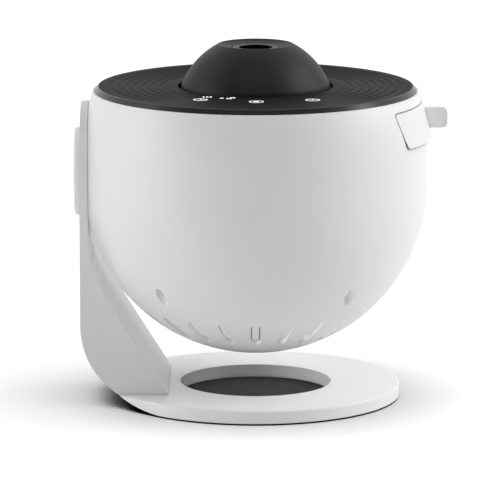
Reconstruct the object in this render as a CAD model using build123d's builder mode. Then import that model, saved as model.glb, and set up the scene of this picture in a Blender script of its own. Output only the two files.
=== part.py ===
from build123d import *
import os
from math import asin, atan, cos, degrees, pi, radians, sin, sqrt, tan

# Planetarium projector: a tilting bowl head on an L-shaped stand. Millimetres, +Z up.
# Origin: centre of the base's underside. The arm stands at -X, the disc tray opens towards +X.

# ---------------------------------------------------------------- driving dimensions
# Clearances shared by the fits
touch_gap = 0.3          # between pieces that pass each other
running_gap = 0.06       # radial, in bearings and slides
seat_gap = 0.05          # radial, round pieces dropped into a bore
flat_gap = 0.1           # axial, beside a rotating face

# Base
base_radius = 63.0
hole_radius = 33.0
ring_height = 5.6
base_wall = 1.8
pad_thickness = 0.8
pad_inset = 0.6
base_edge_round = 1.0
plate_thickness = 1.2
ballast_thickness = 2.0
base_boss_radius = 2.8
base_screw_count = 5
base_screw_spread = 220.0  # degrees, the side under the arm has none
base_flare = 15.8        # from the arm's outer face to where the base's outline meets it

# Arm
arm_width = 61.5
arm_thickness = 3.1
bend_margin = 2.2        # from the bend's centre line to where the inner slope meets the base
foot_margin = 4.6        # from the ring's hole to where the sloping inner face meets the base
gusset_slope = 32.1      # degrees from vertical
gusset_round = 55.0
gusset_wall = 2.4
gusset_cover_thickness = 1.8
gusset_cover_height = 58.0

# Tilt pivot
pivot_rise = 4.35        # pivot axis above the bowl's centre
pivot_cap_radius = 19.2
pivot_cap_depth = 3.0
pivot_cap_wall = 0.9
trunnion_radius = 8.0
trunnion_bore = 5.0
bush_wall = 1.5
thrust_washer_width = 7.0
thrust_seat_depth = 0.7  # of the washer's seat in the arm's inner face
friction_washer_thickness = 0.5
pivot_nut_thickness = 1.2
pivot_nut_reach = 6.0    # from the trunnion's surface to the nut's corners
hub_flange_radius = 17.0
hub_flange_thickness = 2.5
hub_screw_count = 4

# Bowl
bowl_radius = 75.0
bowl_wall = 2.2
bowl_ground_gap = 13.85  # between the base's top and the bowl's lowest point
shoulder_rise = 16.75    # from the bowl's centre to where its side starts to round in
lip_rise = 40.05
lip_inset = 4.2          # the lip is this much smaller than the bowl
flat_inset = 2.6         # depth of the flat on the side of the arm
parting_drop = 17.25     # joint between the bowl's two shells, below its centre
tongue_height = 2.4      # of the lower shell's edge, inside the upper one
tongue_wall = 1.4
pivot_side_gap = 0.3     # between the arm's inner face and the flat on the bowl
vent_count = 22
vent_width = 4.0
vent_start = 29.0        # degrees from straight down
vent_end = 44.0
well_inset = 13.54       # wells' circle inside the bowl's radius
well_turn = 40.5         # degrees from front and back
well_radius = 2.85
well_wall = 1.8
well_floor = 1.8
post_radius = 3.2
post_start_rise = 31.2   # post foot below the bowl's centre

# Top cover
cover_inset = 0.7        # the cover shows this much of the lip
cover_proud = 2.1
cover_bevel = 1.7
cover_thickness = 2.0
cover_opening_radius = 33.7
skirt_depth = 2.4
skirt_wall = 2.0
ripple_count = 6
ripple_pitch = 4.0
ripple_first_radius = 39.0
ripple_depth = 0.28
icon_depth = 0.3

# Focus dome and optics
dome_base_radius = 32.2
dome_sphere_radius = 34.8
dome_base_rise = 0.6     # dome edge above the cover's top
dome_rim_radius = 16.8
dome_wall = 2.2
bezel_radius = 10.3
aperture_radius = 7.0
dish_depth = 2.1
bezel_height = 2.0
collar_wall = 2.4
guide_bore = 20.0
guide_wall = 1.6
guide_height = 15.0
guide_flange_radius = 40.0
guide_flange_thickness = 2.6
barrel_height = 14.0
barrel_rise = 6.0        # lens barrel above the disc holder
nose_radius = 12.0
nose_height = 6.5
nose_wall = 1.0
focus_down = 1.2
focus_up = 1.8
key_width = 3.0
key_radius = 17.0
key_height = 3.0
rib_thickness = 1.6

# Disc tray
tray_front_bottom_drop = 20.1   # below the lip
tray_front_height = 15.8
tray_front_half_bottom = 37.5
tray_front_half_top = 42.2
tray_front_corner = 2.0
tray_front_wall = 2.4
tray_bulge = 1.8                # how far the panel's lower middle stands out of the bowl
panel_tighter = 6.6             # the panel's lower edge is curved on a smaller radius than the bowl
tray_plate_thickness = 2.2
tray_half_width = 35.7
tray_back_inset = 1.8    # the tray ends inside the holder's teeth
tray_opening_radius = 23.5
tray_collar_wall = 1.9
tab_reach = 8.5                 # beyond the bowl's radius
tab_height = 8.9
tab_thickness = 4.6
tab_corner = 2.4
tab_drop = 3.1                  # tab's top below the panel's top
rail_width = 2.4
rail_lip = 1.1
deck_thickness = 2.4
inner_frame_gap = 6.8    # from the bowl's inner wall to deck and chassis

# Disc drive
gear_module = 0.8
carrier_teeth = 82
pinion_teeth = 18
gear_width = 4.0
pressure_angle = 20.0
backlash = 0.2
disc_radius = 28.0
disc_thickness = 1.0
disc_web = 2.4
disc_ring_wall = 2.0
motor_radius = 12.0
motor_height = 21.0
motor_shaft_radius = 1.5

# Lamp stack
sink_width = 50.0
sink_flange = 58.0
sink_base = 4.0
sink_gap = 0.75          # around the fins, in the chassis
fin_count = 11
fin_thickness = 1.2
fan_height = 15.0
fan_floor_gap = 13.55    # from the bowl's inner bottom to the fan
fan_screw_inset = 4.5
fan_rim = 1.2            # thinnest wall of the fan's frame
fan_hub_radius = 9.0
fan_blade_count = 7
chassis_thickness = 2.4
chassis_drop = 22.25            # chassis top below the bowl's centre
column_inset = 6.0
column_turn = 37.0       # degrees from front and back
column_radius = 3.2
led_board_radius = 17.0
board_thickness = 1.6
led_size = 10.0
led_height = 1.2
condenser_radius = 20.0
condenser_wall = 2.2
condenser_height = 29.0
lower_lens_rise = 8.0    # lower lens above the heat sink
condenser_flange_radius = 28.0

# Screws
screw_radius = 1.4
screw_head_radius = 2.6
screw_head_height = 1.8

# ---------------------------------------------------------------- levels and radii
pad_top = pad_thickness
base_top = pad_top + ring_height
bowl_z = base_top + bowl_ground_gap + bowl_radius
shoulder_z = bowl_z + shoulder_rise
lip_z = bowl_z + lip_rise
pivot_z = bowl_z + pivot_rise
cover_top = lip_z + cover_proud
cover_under = cover_top - cover_thickness
arm_half = arm_width / 2
bowl_flat = bowl_radius - flat_inset
arm_inner = bowl_flat + pivot_side_gap
arm_reach = arm_inner + arm_thickness    # from the origin to the arm's outer face
gusset_foot = hole_radius + foot_margin
bend_radius = arm_reach - gusset_foot - bend_margin
bowl_inner = bowl_radius - bowl_wall
parting_z = bowl_z - parting_drop
lip_radius = bowl_radius - lip_inset
cover_radius = lip_radius - cover_inset
deck_radius = bowl_inner - inner_frame_gap
hub_screw_circle = (trunnion_radius + hub_flange_radius) / 2
chassis_radius = deck_radius
chassis_top = bowl_z - chassis_drop
chassis_under = chassis_top - chassis_thickness
tray_bottom = lip_z - tray_front_bottom_drop
tray_top = tray_bottom + tray_front_height
deck_top = tray_bottom
deck_under = deck_top - deck_thickness
plate_under = deck_top + touch_gap
plate_top = plate_under + tray_plate_thickness
gear_under = plate_top + touch_gap
gear_top = gear_under + gear_width
disc_under = gear_under + disc_web
disc_top = disc_under + disc_thickness
carrier_pitch = gear_module * carrier_teeth / 2
pinion_pitch = gear_module * pinion_teeth / 2
pinion_x = -(carrier_pitch + pinion_pitch)
tray_back = carrier_pitch - tray_back_inset
collar_radius = tray_opening_radius + tray_collar_wall
sink_top = chassis_top + sink_base
fin_height = bowl_inner - fan_floor_gap - chassis_drop - fan_height
fin_bottom = chassis_top - fin_height
fan_bottom = fin_bottom - fan_height
fan_screw_reach = sink_width / 2 - fan_screw_inset
fan_bore_radius = sink_width / 2 - fan_rim

shoulder_round = ((lip_z - shoulder_z) ** 2 + lip_inset ** 2) / (2 * lip_inset)


def bowl_radius_at(z):
    """Outer radius of the bowl at a height."""
    if z < bowl_z:
        return sqrt(bowl_radius ** 2 - (bowl_z - z) ** 2)
    if z < shoulder_z:
        return bowl_radius
    return bowl_radius - shoulder_round + sqrt(shoulder_round ** 2 - (z - shoulder_z) ** 2)


def four_places(radius, turn):
    """Four points on a circle, each at an angle in degrees from front or back."""
    across = radius * sin(radians(turn))
    along = radius * cos(radians(turn))
    return [(x, y) for x in (-across, across) for y in (-along, along)]


os.makedirs("parts", exist_ok=True)


def keep(part, name):
    """Label a finished piece and write it as its own file."""
    part.label = name
    export_step(part, "parts/" + name + ".step")


# ---------------------------------------------------------------- stand
def arm_profile(outer_inset, inner_inset, top):
    """Side outline of the arm: outer face, bend, foot, sloping inner face and round."""
    bend_x = -arm_reach + bend_radius
    bend_z = pad_top + bend_radius
    outer_r = bend_radius - outer_inset
    inner_x = -arm_inner - inner_inset
    lean = radians(gusset_slope)
    foot_x = -gusset_foot - inner_inset / cos(lean)
    corner_z = base_top + (foot_x - inner_x) / tan(lean)
    tangent = gusset_round * tan(lean / 2)
    turn_x = inner_x + tangent * sin(lean)
    turn_z = corner_z - tangent * cos(lean)
    mid_lean = lean / 2
    mid_x = inner_x + gusset_round * (1 - cos(mid_lean))
    mid_z = corner_z + tangent - gusset_round * sin(mid_lean)
    with BuildLine() as outline:
        Line((-arm_reach + outer_inset, top), (-arm_reach + outer_inset, bend_z))
        RadiusArc((-arm_reach + outer_inset, bend_z), (bend_x, bend_z - outer_r), -outer_r)
        Line((bend_x, bend_z - outer_r), (foot_x, bend_z - outer_r))
        Line((foot_x, bend_z - outer_r), (foot_x, base_top))
        Line((foot_x, base_top), (turn_x, turn_z))
        ThreePointArc((turn_x, turn_z), (mid_x, mid_z), (inner_x, corner_z + tangent))
        Line((inner_x, corner_z + tangent), (inner_x, top))
        Line((inner_x, top), (-arm_reach + outer_inset, top))
    return outline.line


base_screw_ring = (base_radius + hole_radius) / 2
hollow_edge = -gusset_foot + base_wall
gusset_width = 2 * (arm_half - gusset_wall)
gusset_cover_top = base_top + gusset_cover_height
bush_radius = trunnion_radius + running_gap + bush_wall
shank_length = 3.0


def base_screw_places(radius):
    """Places of the base screws around the ring."""
    spread = base_screw_spread
    return PolarLocations(radius, base_screw_count, -spread / 2, spread, endpoint=True)


arm_outline = arm_profile(0, 0, pivot_z)
hollow_outline = arm_profile(gusset_wall, -gusset_wall, pivot_z)
with BuildPart() as stand_frame:
    with BuildSketch(Plane.XY.offset(pad_top)) as base_outline:
        Circle(base_radius)
        with Locations((-arm_reach + base_flare, 0)):
            Rectangle(base_wall, arm_width, align=(Align.MIN, Align.CENTER))
        make_hull()
    extrude(amount=ring_height)
    fillet(stand_frame.faces().sort_by(Axis.Z)[-1].edges(), base_edge_round)
    # the underside rises with the bend of the arm
    with BuildSketch(Plane.XZ) as under_bend:
        with Locations((-arm_reach + bend_radius, 0)):
            Rectangle(2 * arm_reach, pad_top + bend_radius, align=(Align.MAX, Align.MIN))
        with Locations((-arm_reach + bend_radius, pad_top + bend_radius)):
            Circle(bend_radius, mode=Mode.SUBTRACT)
    extrude(amount=base_radius + arm_half, both=True, mode=Mode.SUBTRACT)
    with BuildSketch(Plane.XZ) as arm_side:
        with BuildLine():
            add(arm_outline)
        make_face()
    extrude(amount=arm_half, both=True)
    with BuildSketch(Plane.YZ.offset(-arm_reach)) as arm_head:
        with Locations((0, pivot_z)):
            Circle(arm_half)
    extrude(amount=arm_thickness)
    # hollow inside of the gusset, open towards the bowl
    with BuildSketch(Plane.XZ) as gusset_hollow:
        with BuildLine():
            add(hollow_outline)
        make_face()
        with Locations((-arm_reach, base_top)):
            Rectangle(arm_reach, 2 * base_top, align=(Align.MIN, Align.MAX), mode=Mode.SUBTRACT)
        with Locations((-arm_reach, gusset_cover_top)):
            Rectangle(arm_reach, arm_reach, align=(Align.MIN, Align.MIN), mode=Mode.SUBTRACT)
    extrude(amount=gusset_width / 2, both=True, mode=Mode.SUBTRACT)
    # ring-shaped hollow under the base, with its screw bosses
    with BuildSketch(Plane.XY.offset(pad_top)) as base_hollow:
        Circle(base_radius - base_wall)
        Circle(hole_radius + base_wall, mode=Mode.SUBTRACT)
        with Locations((hollow_edge, 0)):
            Rectangle(arm_reach, 2 * arm_reach, align=(Align.MAX, Align.CENTER), mode=Mode.SUBTRACT)
    extrude(amount=ring_height - base_wall, mode=Mode.SUBTRACT)
    with BuildSketch(Plane.XY.offset(pad_top + plate_thickness)) as base_bosses:
        with base_screw_places(base_screw_ring):
            Circle(base_boss_radius)
    extrude(amount=ring_height - plate_thickness - base_wall / 2)
    with BuildSketch(Plane.XY.offset(pad_top)) as boss_holes:
        with base_screw_places(base_screw_ring):
            Circle(screw_radius)
    extrude(amount=plate_thickness + shank_length, mode=Mode.SUBTRACT)
    with BuildSketch(Plane.XY.offset(pad_top)) as light_hole:
        Circle(hole_radius)
    extrude(amount=2 * ring_height, mode=Mode.SUBTRACT)
    with BuildSketch(Plane.YZ.offset(-arm_reach)) as pivot_hole:
        with Locations((0, pivot_z)):
            Circle(bush_radius)
    extrude(amount=arm_thickness, mode=Mode.SUBTRACT)
    with BuildSketch(Plane.YZ.offset(-arm_inner)) as thrust_seat:
        with Locations((0, pivot_z)):
            Circle(trunnion_radius + thrust_washer_width + seat_gap)
    extrude(amount=-thrust_seat_depth, mode=Mode.SUBTRACT)
keep(stand_frame.part, "stand_frame")

cover_front = arm_profile(gusset_wall + touch_gap, 0, pivot_z)
cover_back = arm_profile(-gusset_wall, gusset_cover_thickness, pivot_z)
with BuildPart() as gusset_cover:
    with BuildSketch(Plane.XZ) as cover_side:
        with BuildLine():
            add(cover_front)
        make_face()
        with BuildLine():
            add(cover_back)
        make_face(mode=Mode.SUBTRACT)
        with Locations((-arm_reach, base_top + touch_gap)):
            Rectangle(arm_reach, 2 * base_top, align=(Align.MIN, Align.MAX), mode=Mode.SUBTRACT)
        with Locations((-arm_reach, gusset_cover_top - touch_gap)):
            Rectangle(arm_reach, arm_reach, align=(Align.MIN, Align.MIN), mode=Mode.SUBTRACT)
    extrude(amount=gusset_width / 2 - flat_gap, both=True)
keep(gusset_cover.part, "gusset_cover")


def under_base_sketch(level, edge_gap):
    """Ring that fits the hollow under the base, cut off at the foot of the arm."""
    with BuildSketch(Plane.XY.offset(level)) as ring:
        Circle(base_radius - base_wall - edge_gap)
        Circle(hole_radius + base_wall + edge_gap, mode=Mode.SUBTRACT)
        with Locations((hollow_edge + edge_gap, 0)):
            Rectangle(arm_reach, 2 * arm_reach, align=(Align.MAX, Align.CENTER), mode=Mode.SUBTRACT)
    return ring.sketch


flat_head_height = plate_thickness * 0.75
plate_ring = under_base_sketch(pad_top, flat_gap)
with BuildPart() as base_plate:
    add(plate_ring)
    extrude(amount=plate_thickness)
    with BuildSketch(Plane.XY.offset(pad_top)) as head_pockets:
        with base_screw_places(base_screw_ring):
            Circle(screw_head_radius + seat_gap)
    extrude(amount=flat_head_height, mode=Mode.SUBTRACT)
    with BuildSketch(Plane.XY.offset(pad_top)) as plate_holes:
        with base_screw_places(base_screw_ring):
            Circle(screw_radius + seat_gap)
    extrude(amount=plate_thickness, mode=Mode.SUBTRACT)
keep(base_plate.part, "base_plate")

ballast_outline = under_base_sketch(pad_top + plate_thickness, touch_gap)
with BuildPart() as ballast_ring:
    add(ballast_outline)
    extrude(amount=ballast_thickness)
    with BuildSketch(Plane.XY.offset(pad_top + plate_thickness)) as boss_clearance:
        with base_screw_places(base_screw_ring):
            Circle(base_boss_radius + touch_gap)
    extrude(amount=ballast_thickness, mode=Mode.SUBTRACT)
keep(ballast_ring.part, "ballast_ring")

with BuildPart() as base_screws:
    with BuildSketch(Plane.XY.offset(pad_top)) as screw_heads:
        with base_screw_places(base_screw_ring):
            Circle(screw_head_radius)
    extrude(amount=flat_head_height)
    with BuildSketch(Plane.XY.offset(pad_top)) as screw_shanks:
        with base_screw_places(base_screw_ring):
            Circle(screw_radius - seat_gap)
    extrude(amount=plate_thickness + shank_length - flat_gap)
keep(base_screws.part, "base_screws")

with BuildPart() as rubber_pad:
    with BuildSketch() as pad_outline:
        Circle(base_radius - pad_inset)
        with Locations((-arm_reach + bend_radius, 0)):
            Rectangle(arm_reach, 2 * arm_reach, align=(Align.MAX, Align.CENTER), mode=Mode.SUBTRACT)
    extrude(amount=pad_thickness)
keep(rubber_pad.part, "rubber_pad")


# ---------------------------------------------------------------- tilt pivot
def disc_on_pivot(start, thickness, outer, inner):
    """Washer-like ring on the pivot axis, from start towards the bowl."""
    with BuildPart() as ring:
        with BuildSketch(Plane.YZ.offset(start)):
            with Locations((0, pivot_z)):
                Circle(outer)
                Circle(inner, mode=Mode.SUBTRACT)
        extrude(amount=thickness)
    return ring.part


keep(disc_on_pivot(-arm_reach, arm_thickness - thrust_seat_depth, bush_radius - flat_gap / 10,
                   trunnion_radius + running_gap), "pivot_bush")
keep(disc_on_pivot(-arm_inner - thrust_seat_depth, thrust_seat_depth + pivot_side_gap - flat_gap,
                   trunnion_radius + thrust_washer_width, trunnion_radius + running_gap),
     "thrust_washer")
keep(disc_on_pivot(-arm_reach - friction_washer_thickness, friction_washer_thickness,
                   trunnion_radius + thrust_washer_width, trunnion_radius + running_gap),
     "friction_washer")
nut_start = -arm_reach - friction_washer_thickness - flat_gap - pivot_nut_thickness
hub_back = -(bowl_flat - bowl_wall)

with BuildPart() as pivot_hub:
    with BuildSketch(Plane.YZ.offset(nut_start)) as trunnion:
        with Locations((0, pivot_z)):
            Circle(trunnion_radius)
    extrude(amount=hub_back - nut_start)
    with BuildSketch(Plane.YZ.offset(hub_back)) as hub_flange:
        with Locations((0, pivot_z)):
            Circle(hub_flange_radius)
    extrude(amount=hub_flange_thickness)
    with BuildSketch(Plane.YZ.offset(nut_start)) as wire_way:
        with Locations((0, pivot_z)):
            Circle(trunnion_bore)
    extrude(amount=arm_reach, mode=Mode.SUBTRACT)
    with BuildSketch(Plane.YZ.offset(hub_back)) as hub_holes:
        with Locations((0, pivot_z)):
            with PolarLocations(hub_screw_circle, hub_screw_count, 45):
                Circle(screw_radius + seat_gap)
    extrude(amount=hub_flange_thickness, mode=Mode.SUBTRACT)
keep(pivot_hub.part, "pivot_hub")

with BuildPart() as pivot_nut:
    with BuildSketch(Plane.YZ.offset(nut_start)) as nut_outline:
        with Locations((0, pivot_z)):
            RegularPolygon(trunnion_radius + pivot_nut_reach, 6)
            Circle(trunnion_radius + seat_gap, mode=Mode.SUBTRACT)
    extrude(amount=pivot_nut_thickness)
keep(pivot_nut.part, "pivot_nut")

cap_face = -arm_reach - pivot_cap_depth
with BuildPart() as pivot_cap:
    with BuildSketch(Plane.YZ.offset(-arm_reach)) as cap_outline:
        with Locations((0, pivot_z)):
            Circle(pivot_cap_radius)
    extrude(amount=-pivot_cap_depth)
    fillet(pivot_cap.faces().sort_by(Axis.X)[0].edges(), pivot_cap_wall)
    with BuildSketch(Plane.YZ.offset(-arm_reach)) as cap_pocket:
        with Locations((0, pivot_z)):
            Circle(pivot_cap_radius - 2 * pivot_cap_wall)
    extrude(amount=-(pivot_cap_depth - pivot_cap_wall), mode=Mode.SUBTRACT)
keep(pivot_cap.part, "pivot_cap")

with BuildPart() as hub_screws:
    with BuildSketch(Plane.YZ.offset(hub_back + hub_flange_thickness)) as hub_heads:
        with Locations((0, pivot_z)):
            with PolarLocations(hub_screw_circle, hub_screw_count, 45):
                Circle(screw_head_radius)
    extrude(amount=screw_head_height)
    with BuildSketch(Plane.YZ.offset(hub_back - bowl_wall / 2)) as hub_shanks:
        with Locations((0, pivot_z)):
            with PolarLocations(hub_screw_circle, hub_screw_count, 45):
                Circle(screw_radius)
    extrude(amount=hub_flange_thickness + bowl_wall / 2)
keep(hub_screws.part, "hub_screws")


# ---------------------------------------------------------------- bowl
def bowl_profile(inset):
    """Half outline of the bowl: sphere below, straight side, rounded-in shoulder."""
    radius = bowl_radius - inset
    turn = shoulder_round - inset
    mid_z = (shoulder_z + lip_z) / 2
    mid_x = radius - turn + sqrt(turn ** 2 - (mid_z - shoulder_z) ** 2)
    tip = radius - turn + sqrt(turn ** 2 - (lip_z - shoulder_z) ** 2)
    with BuildSketch(Plane.XZ) as profile:
        with BuildLine():
            Line((0, lip_z), (0, bowl_z - radius))
            ThreePointArc((0, bowl_z - radius), (radius * sin(pi / 4), bowl_z - radius * cos(pi / 4)),
                          (radius, bowl_z))
            Line((radius, bowl_z), (radius, shoulder_z))
            ThreePointArc((radius, shoulder_z), (mid_x, mid_z), (tip, lip_z))
            Line((tip, lip_z), (0, lip_z))
        make_face()
    return profile.sketch


def bowl_solid(inset, flat):
    """Solid of the bowl's outline, cut flat on the side of the arm."""
    outline = bowl_profile(inset)
    with BuildPart() as solid:
        add(outline)
        revolve(axis=Axis.Z)
        split(bisect_by=Plane.YZ.offset(-flat), keep=Keep.TOP)
    return solid.part


def tray_window_sketch(gap):
    """Outline of the disc tray's front, seen along X; gap makes it larger."""
    half_low = tray_front_half_bottom + gap
    half_high = tray_front_half_top + gap
    with BuildSketch(Plane.YZ) as window:
        with BuildLine():
            Polyline((-half_low, tray_bottom - gap), (half_low, tray_bottom - gap),
                     (half_high, tray_top + gap), (-half_high, tray_top + gap), close=True)
        make_face()
        fillet(window.vertices(), tray_front_corner + gap)
    return window.sketch


vent_polar = radians((vent_start + vent_end) / 2)
vent_length = bowl_radius * radians(vent_end - vent_start)
well_places = four_places(bowl_radius - well_inset, well_turn)
well_top = bowl_z - post_start_rise
window_gap = touch_gap
socket_rise = 11.0       # socket above the chassis
socket_z = chassis_top + socket_rise
socket_width = 9.0
socket_height = 3.3
socket_depth = 7.5


def vent_plane(turn):
    """Plane square to the bowl's wall at one vent."""
    outward = Vector(sin(vent_polar) * cos(turn), sin(vent_polar) * sin(turn), -cos(vent_polar))
    along = Vector(cos(vent_polar) * cos(turn), cos(vent_polar) * sin(turn), sin(vent_polar))
    middle = Vector(0, 0, bowl_z) + outward * (bowl_radius - bowl_wall / 2)
    return Plane(origin=middle, x_dir=along, z_dir=outward)


bowl_outside = bowl_solid(0, bowl_flat)
bowl_inside = bowl_solid(bowl_wall, bowl_flat - bowl_wall)
tongue_outside = bowl_solid(bowl_wall + seat_gap, bowl_flat - bowl_wall - seat_gap)
tongue_inside = bowl_solid(bowl_wall + tongue_wall, bowl_flat - bowl_wall - tongue_wall)
window_outline = tray_window_sketch(window_gap)
with BuildPart() as tongue:
    add(bowl_inside)
    split(bisect_by=Plane.XY.offset(parting_z), keep=Keep.BOTTOM)
    add(tongue_outside)
    add(tongue_inside, mode=Mode.SUBTRACT)
    split(bisect_by=Plane.XY.offset(parting_z - tongue_height), keep=Keep.TOP)
    split(bisect_by=Plane.XY.offset(parting_z + tongue_height), keep=Keep.BOTTOM)

with BuildPart() as lower_bowl:
    add(bowl_outside)
    add(bowl_inside, mode=Mode.SUBTRACT)
    with BuildSketch(Plane.XY.offset(bowl_z - bowl_radius)) as well_tubes:
        with Locations(*well_places):
            Circle(well_radius + well_wall)
    extrude(amount=well_top - bowl_z + bowl_radius)
    add(bowl_outside, mode=Mode.INTERSECT)
    with BuildSketch(Plane.XY.offset(bowl_z - bowl_radius)) as wells:
        with Locations(*well_places):
            Circle(well_radius)
    extrude(amount=well_top - well_floor - bowl_z + bowl_radius, mode=Mode.SUBTRACT)
    with BuildSketch(Plane.XY.offset(bowl_z - bowl_radius)) as well_holes:
        with Locations(*well_places):
            Circle(screw_radius + seat_gap)
    extrude(amount=bowl_radius, mode=Mode.SUBTRACT)
    vent_planes = [vent_plane(-pi / 2 + 2 * pi * i / vent_count) for i in range(vent_count)]
    with BuildSketch(*vent_planes) as vents:
        SlotOverall(vent_length, vent_width)
    extrude(amount=2 * bowl_wall, both=True, mode=Mode.SUBTRACT)
    split(bisect_by=Plane.XY.offset(parting_z), keep=Keep.BOTTOM)
    add(tongue.part)
keep(lower_bowl.part, "lower_bowl")

with BuildPart() as bowl_shell:
    add(bowl_outside)
    add(bowl_inside, mode=Mode.SUBTRACT)
    split(bisect_by=Plane.XY.offset(parting_z), keep=Keep.TOP)
    extrude(window_outline, amount=2 * bowl_radius, dir=(1, 0, 0), mode=Mode.SUBTRACT)
    with BuildSketch(Plane.YZ.offset(-bowl_flat)) as trunnion_hole:
        with Locations((0, pivot_z)):
            Circle(trunnion_radius + seat_gap)
            with PolarLocations(hub_screw_circle, hub_screw_count, 45):
                Circle(screw_radius)
    extrude(amount=bowl_wall, mode=Mode.SUBTRACT)
    with BuildSketch(Plane.XZ) as socket_slot:
        with Locations((0, socket_z)):
            SlotOverall(socket_width + 2 * touch_gap, socket_height + 2 * touch_gap)
    extrude(amount=-2 * bowl_radius, mode=Mode.SUBTRACT)
keep(bowl_shell.part, "bowl_shell")


# ---------------------------------------------------------------- top cover
icon_size = 6.4
icon_line = 0.55
icon_places = {"timer": (-23.5, -41.0), "mode": (-12.9, -37.0), "lamp": (0.3, -46.6), "power": (24.3, -41.8)}
tick_places = [(-22.2, -33.6), (-20.7, -33.6), (-19.2, -33.6)]
skirt_radius = lip_radius - bowl_wall - 2 * touch_gap


def icon_sketch():
    """Touch marks: ring with clock hands, small square, ring with a dot, ring with a bar."""
    with BuildSketch(Plane.XY.offset(cover_top - icon_depth)) as marks:
        for name in ("timer", "lamp", "power"):
            with Locations(icon_places[name]):
                Circle(icon_size / 2)
                Circle(icon_size / 2 - icon_line, mode=Mode.SUBTRACT)
        with Locations(icon_places["timer"]):
            Rectangle(icon_line, icon_size / 4, align=(Align.CENTER, Align.MIN))
            Rectangle(icon_size / 4, icon_line, align=(Align.MIN, Align.CENTER))
        with Locations(icon_places["lamp"]):
            Circle(icon_size / 5)
        with Locations(icon_places["power"]):
            Rectangle(icon_line, icon_size / 3, align=(Align.CENTER, Align.MIN))
        with Locations(icon_places["mode"]):
            Rectangle(icon_size / 2, icon_size / 2)
            Rectangle(icon_size / 2 - 2 * icon_line, icon_size / 2 - 2 * icon_line, mode=Mode.SUBTRACT)
        with Locations(*tick_places):
            Rectangle(icon_line, icon_size / 4)
    return marks.sketch


icon_marks = icon_sketch()
with BuildPart() as touch_icons:
    add(icon_marks)
    extrude(amount=icon_depth)
keep(touch_icons.part, "touch_icons")

with BuildPart() as top_cover:
    with BuildSketch(Plane.XZ) as cover_profile:
        with BuildLine():
            Polyline((cover_opening_radius, cover_under), (cover_opening_radius, cover_top),
                     (cover_radius - cover_bevel, cover_top), (cover_radius, lip_z),
                     (skirt_radius, lip_z), (skirt_radius, lip_z - skirt_depth),
                     (skirt_radius - skirt_wall, lip_z - skirt_depth),
                     (skirt_radius - skirt_wall, cover_under), close=True)
        make_face()
        # shallow concentric ripples on the top face
        for i in range(ripple_count):
            with Locations((ripple_first_radius + i * ripple_pitch, cover_top)):
                Ellipse(ripple_pitch / 2 - icon_line, ripple_depth, mode=Mode.SUBTRACT)
    revolve(axis=Axis.Z)
    add(icon_marks)
    extrude(amount=2 * icon_depth, mode=Mode.SUBTRACT)
keep(top_cover.part, "top_cover")

touch_board_gap = 2.0
touch_board_width = 14.0
touch_board_inner = guide_flange_radius + touch_board_gap
touch_board_outer = touch_board_inner + touch_board_width
touch_board_spread = 74.0
with BuildPart() as touch_board:
    with BuildSketch(Plane.XY.offset(cover_under - board_thickness)) as board_outline:
        with BuildLine():
            CenterArc((0, 0), touch_board_outer, -90 - touch_board_spread / 2, touch_board_spread)
            CenterArc((0, 0), touch_board_inner, -90 - touch_board_spread / 2, touch_board_spread)
            Line(PolarLine((0, 0), touch_board_inner, -90 - touch_board_spread / 2, mode=Mode.PRIVATE) @ 1,
                 PolarLine((0, 0), touch_board_outer, -90 - touch_board_spread / 2, mode=Mode.PRIVATE) @ 1)
            Line(PolarLine((0, 0), touch_board_inner, -90 + touch_board_spread / 2, mode=Mode.PRIVATE) @ 1,
                 PolarLine((0, 0), touch_board_outer, -90 + touch_board_spread / 2, mode=Mode.PRIVATE) @ 1)
        make_face()
    extrude(amount=board_thickness)
keep(touch_board.part, "touch_board")


# ---------------------------------------------------------------- focus dome and optics
dome_edge_z = cover_top + dome_base_rise
dome_centre_z = dome_edge_z - sqrt(dome_sphere_radius ** 2 - dome_base_radius ** 2)
dome_bore = dome_base_radius - dome_wall
dome_inner_radius = dome_sphere_radius - dome_wall
rim_z = dome_centre_z + sqrt(dome_sphere_radius ** 2 - dome_rim_radius ** 2)
bezel_top = rim_z - dish_depth
bezel_bottom = bezel_top - bezel_height
collar_floor = cover_under - guide_flange_thickness / 2
dome_foot = collar_floor + touch_gap
dome_bore_top = dome_centre_z + sqrt(dome_inner_radius ** 2 - dome_bore ** 2)
collar_top = dome_bore_top - 2 * touch_gap
barrel_bottom = gear_top + barrel_rise
barrel_shoulder = barrel_bottom + barrel_height
nose_top = barrel_shoulder + nose_height
key_z = nose_top - key_height - nose_wall
guide_bottom = barrel_bottom - focus_down
guide_top = guide_bottom + guide_height
rib_bottom = barrel_shoulder + focus_up + touch_gap
rib_top = key_z + key_height + focus_up + touch_gap
rib_inner = nose_radius + nose_wall
rim_flat = 1.2
rear_lens_back = 2.2
rear_lens_bulge = 2.6
front_lens_bulge = 2.0


def point_on_sphere(radius, height):
    """Distance from the axis of a sphere about the dome's centre, at a height."""
    return sqrt(radius ** 2 - (height - dome_centre_z) ** 2)


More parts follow.
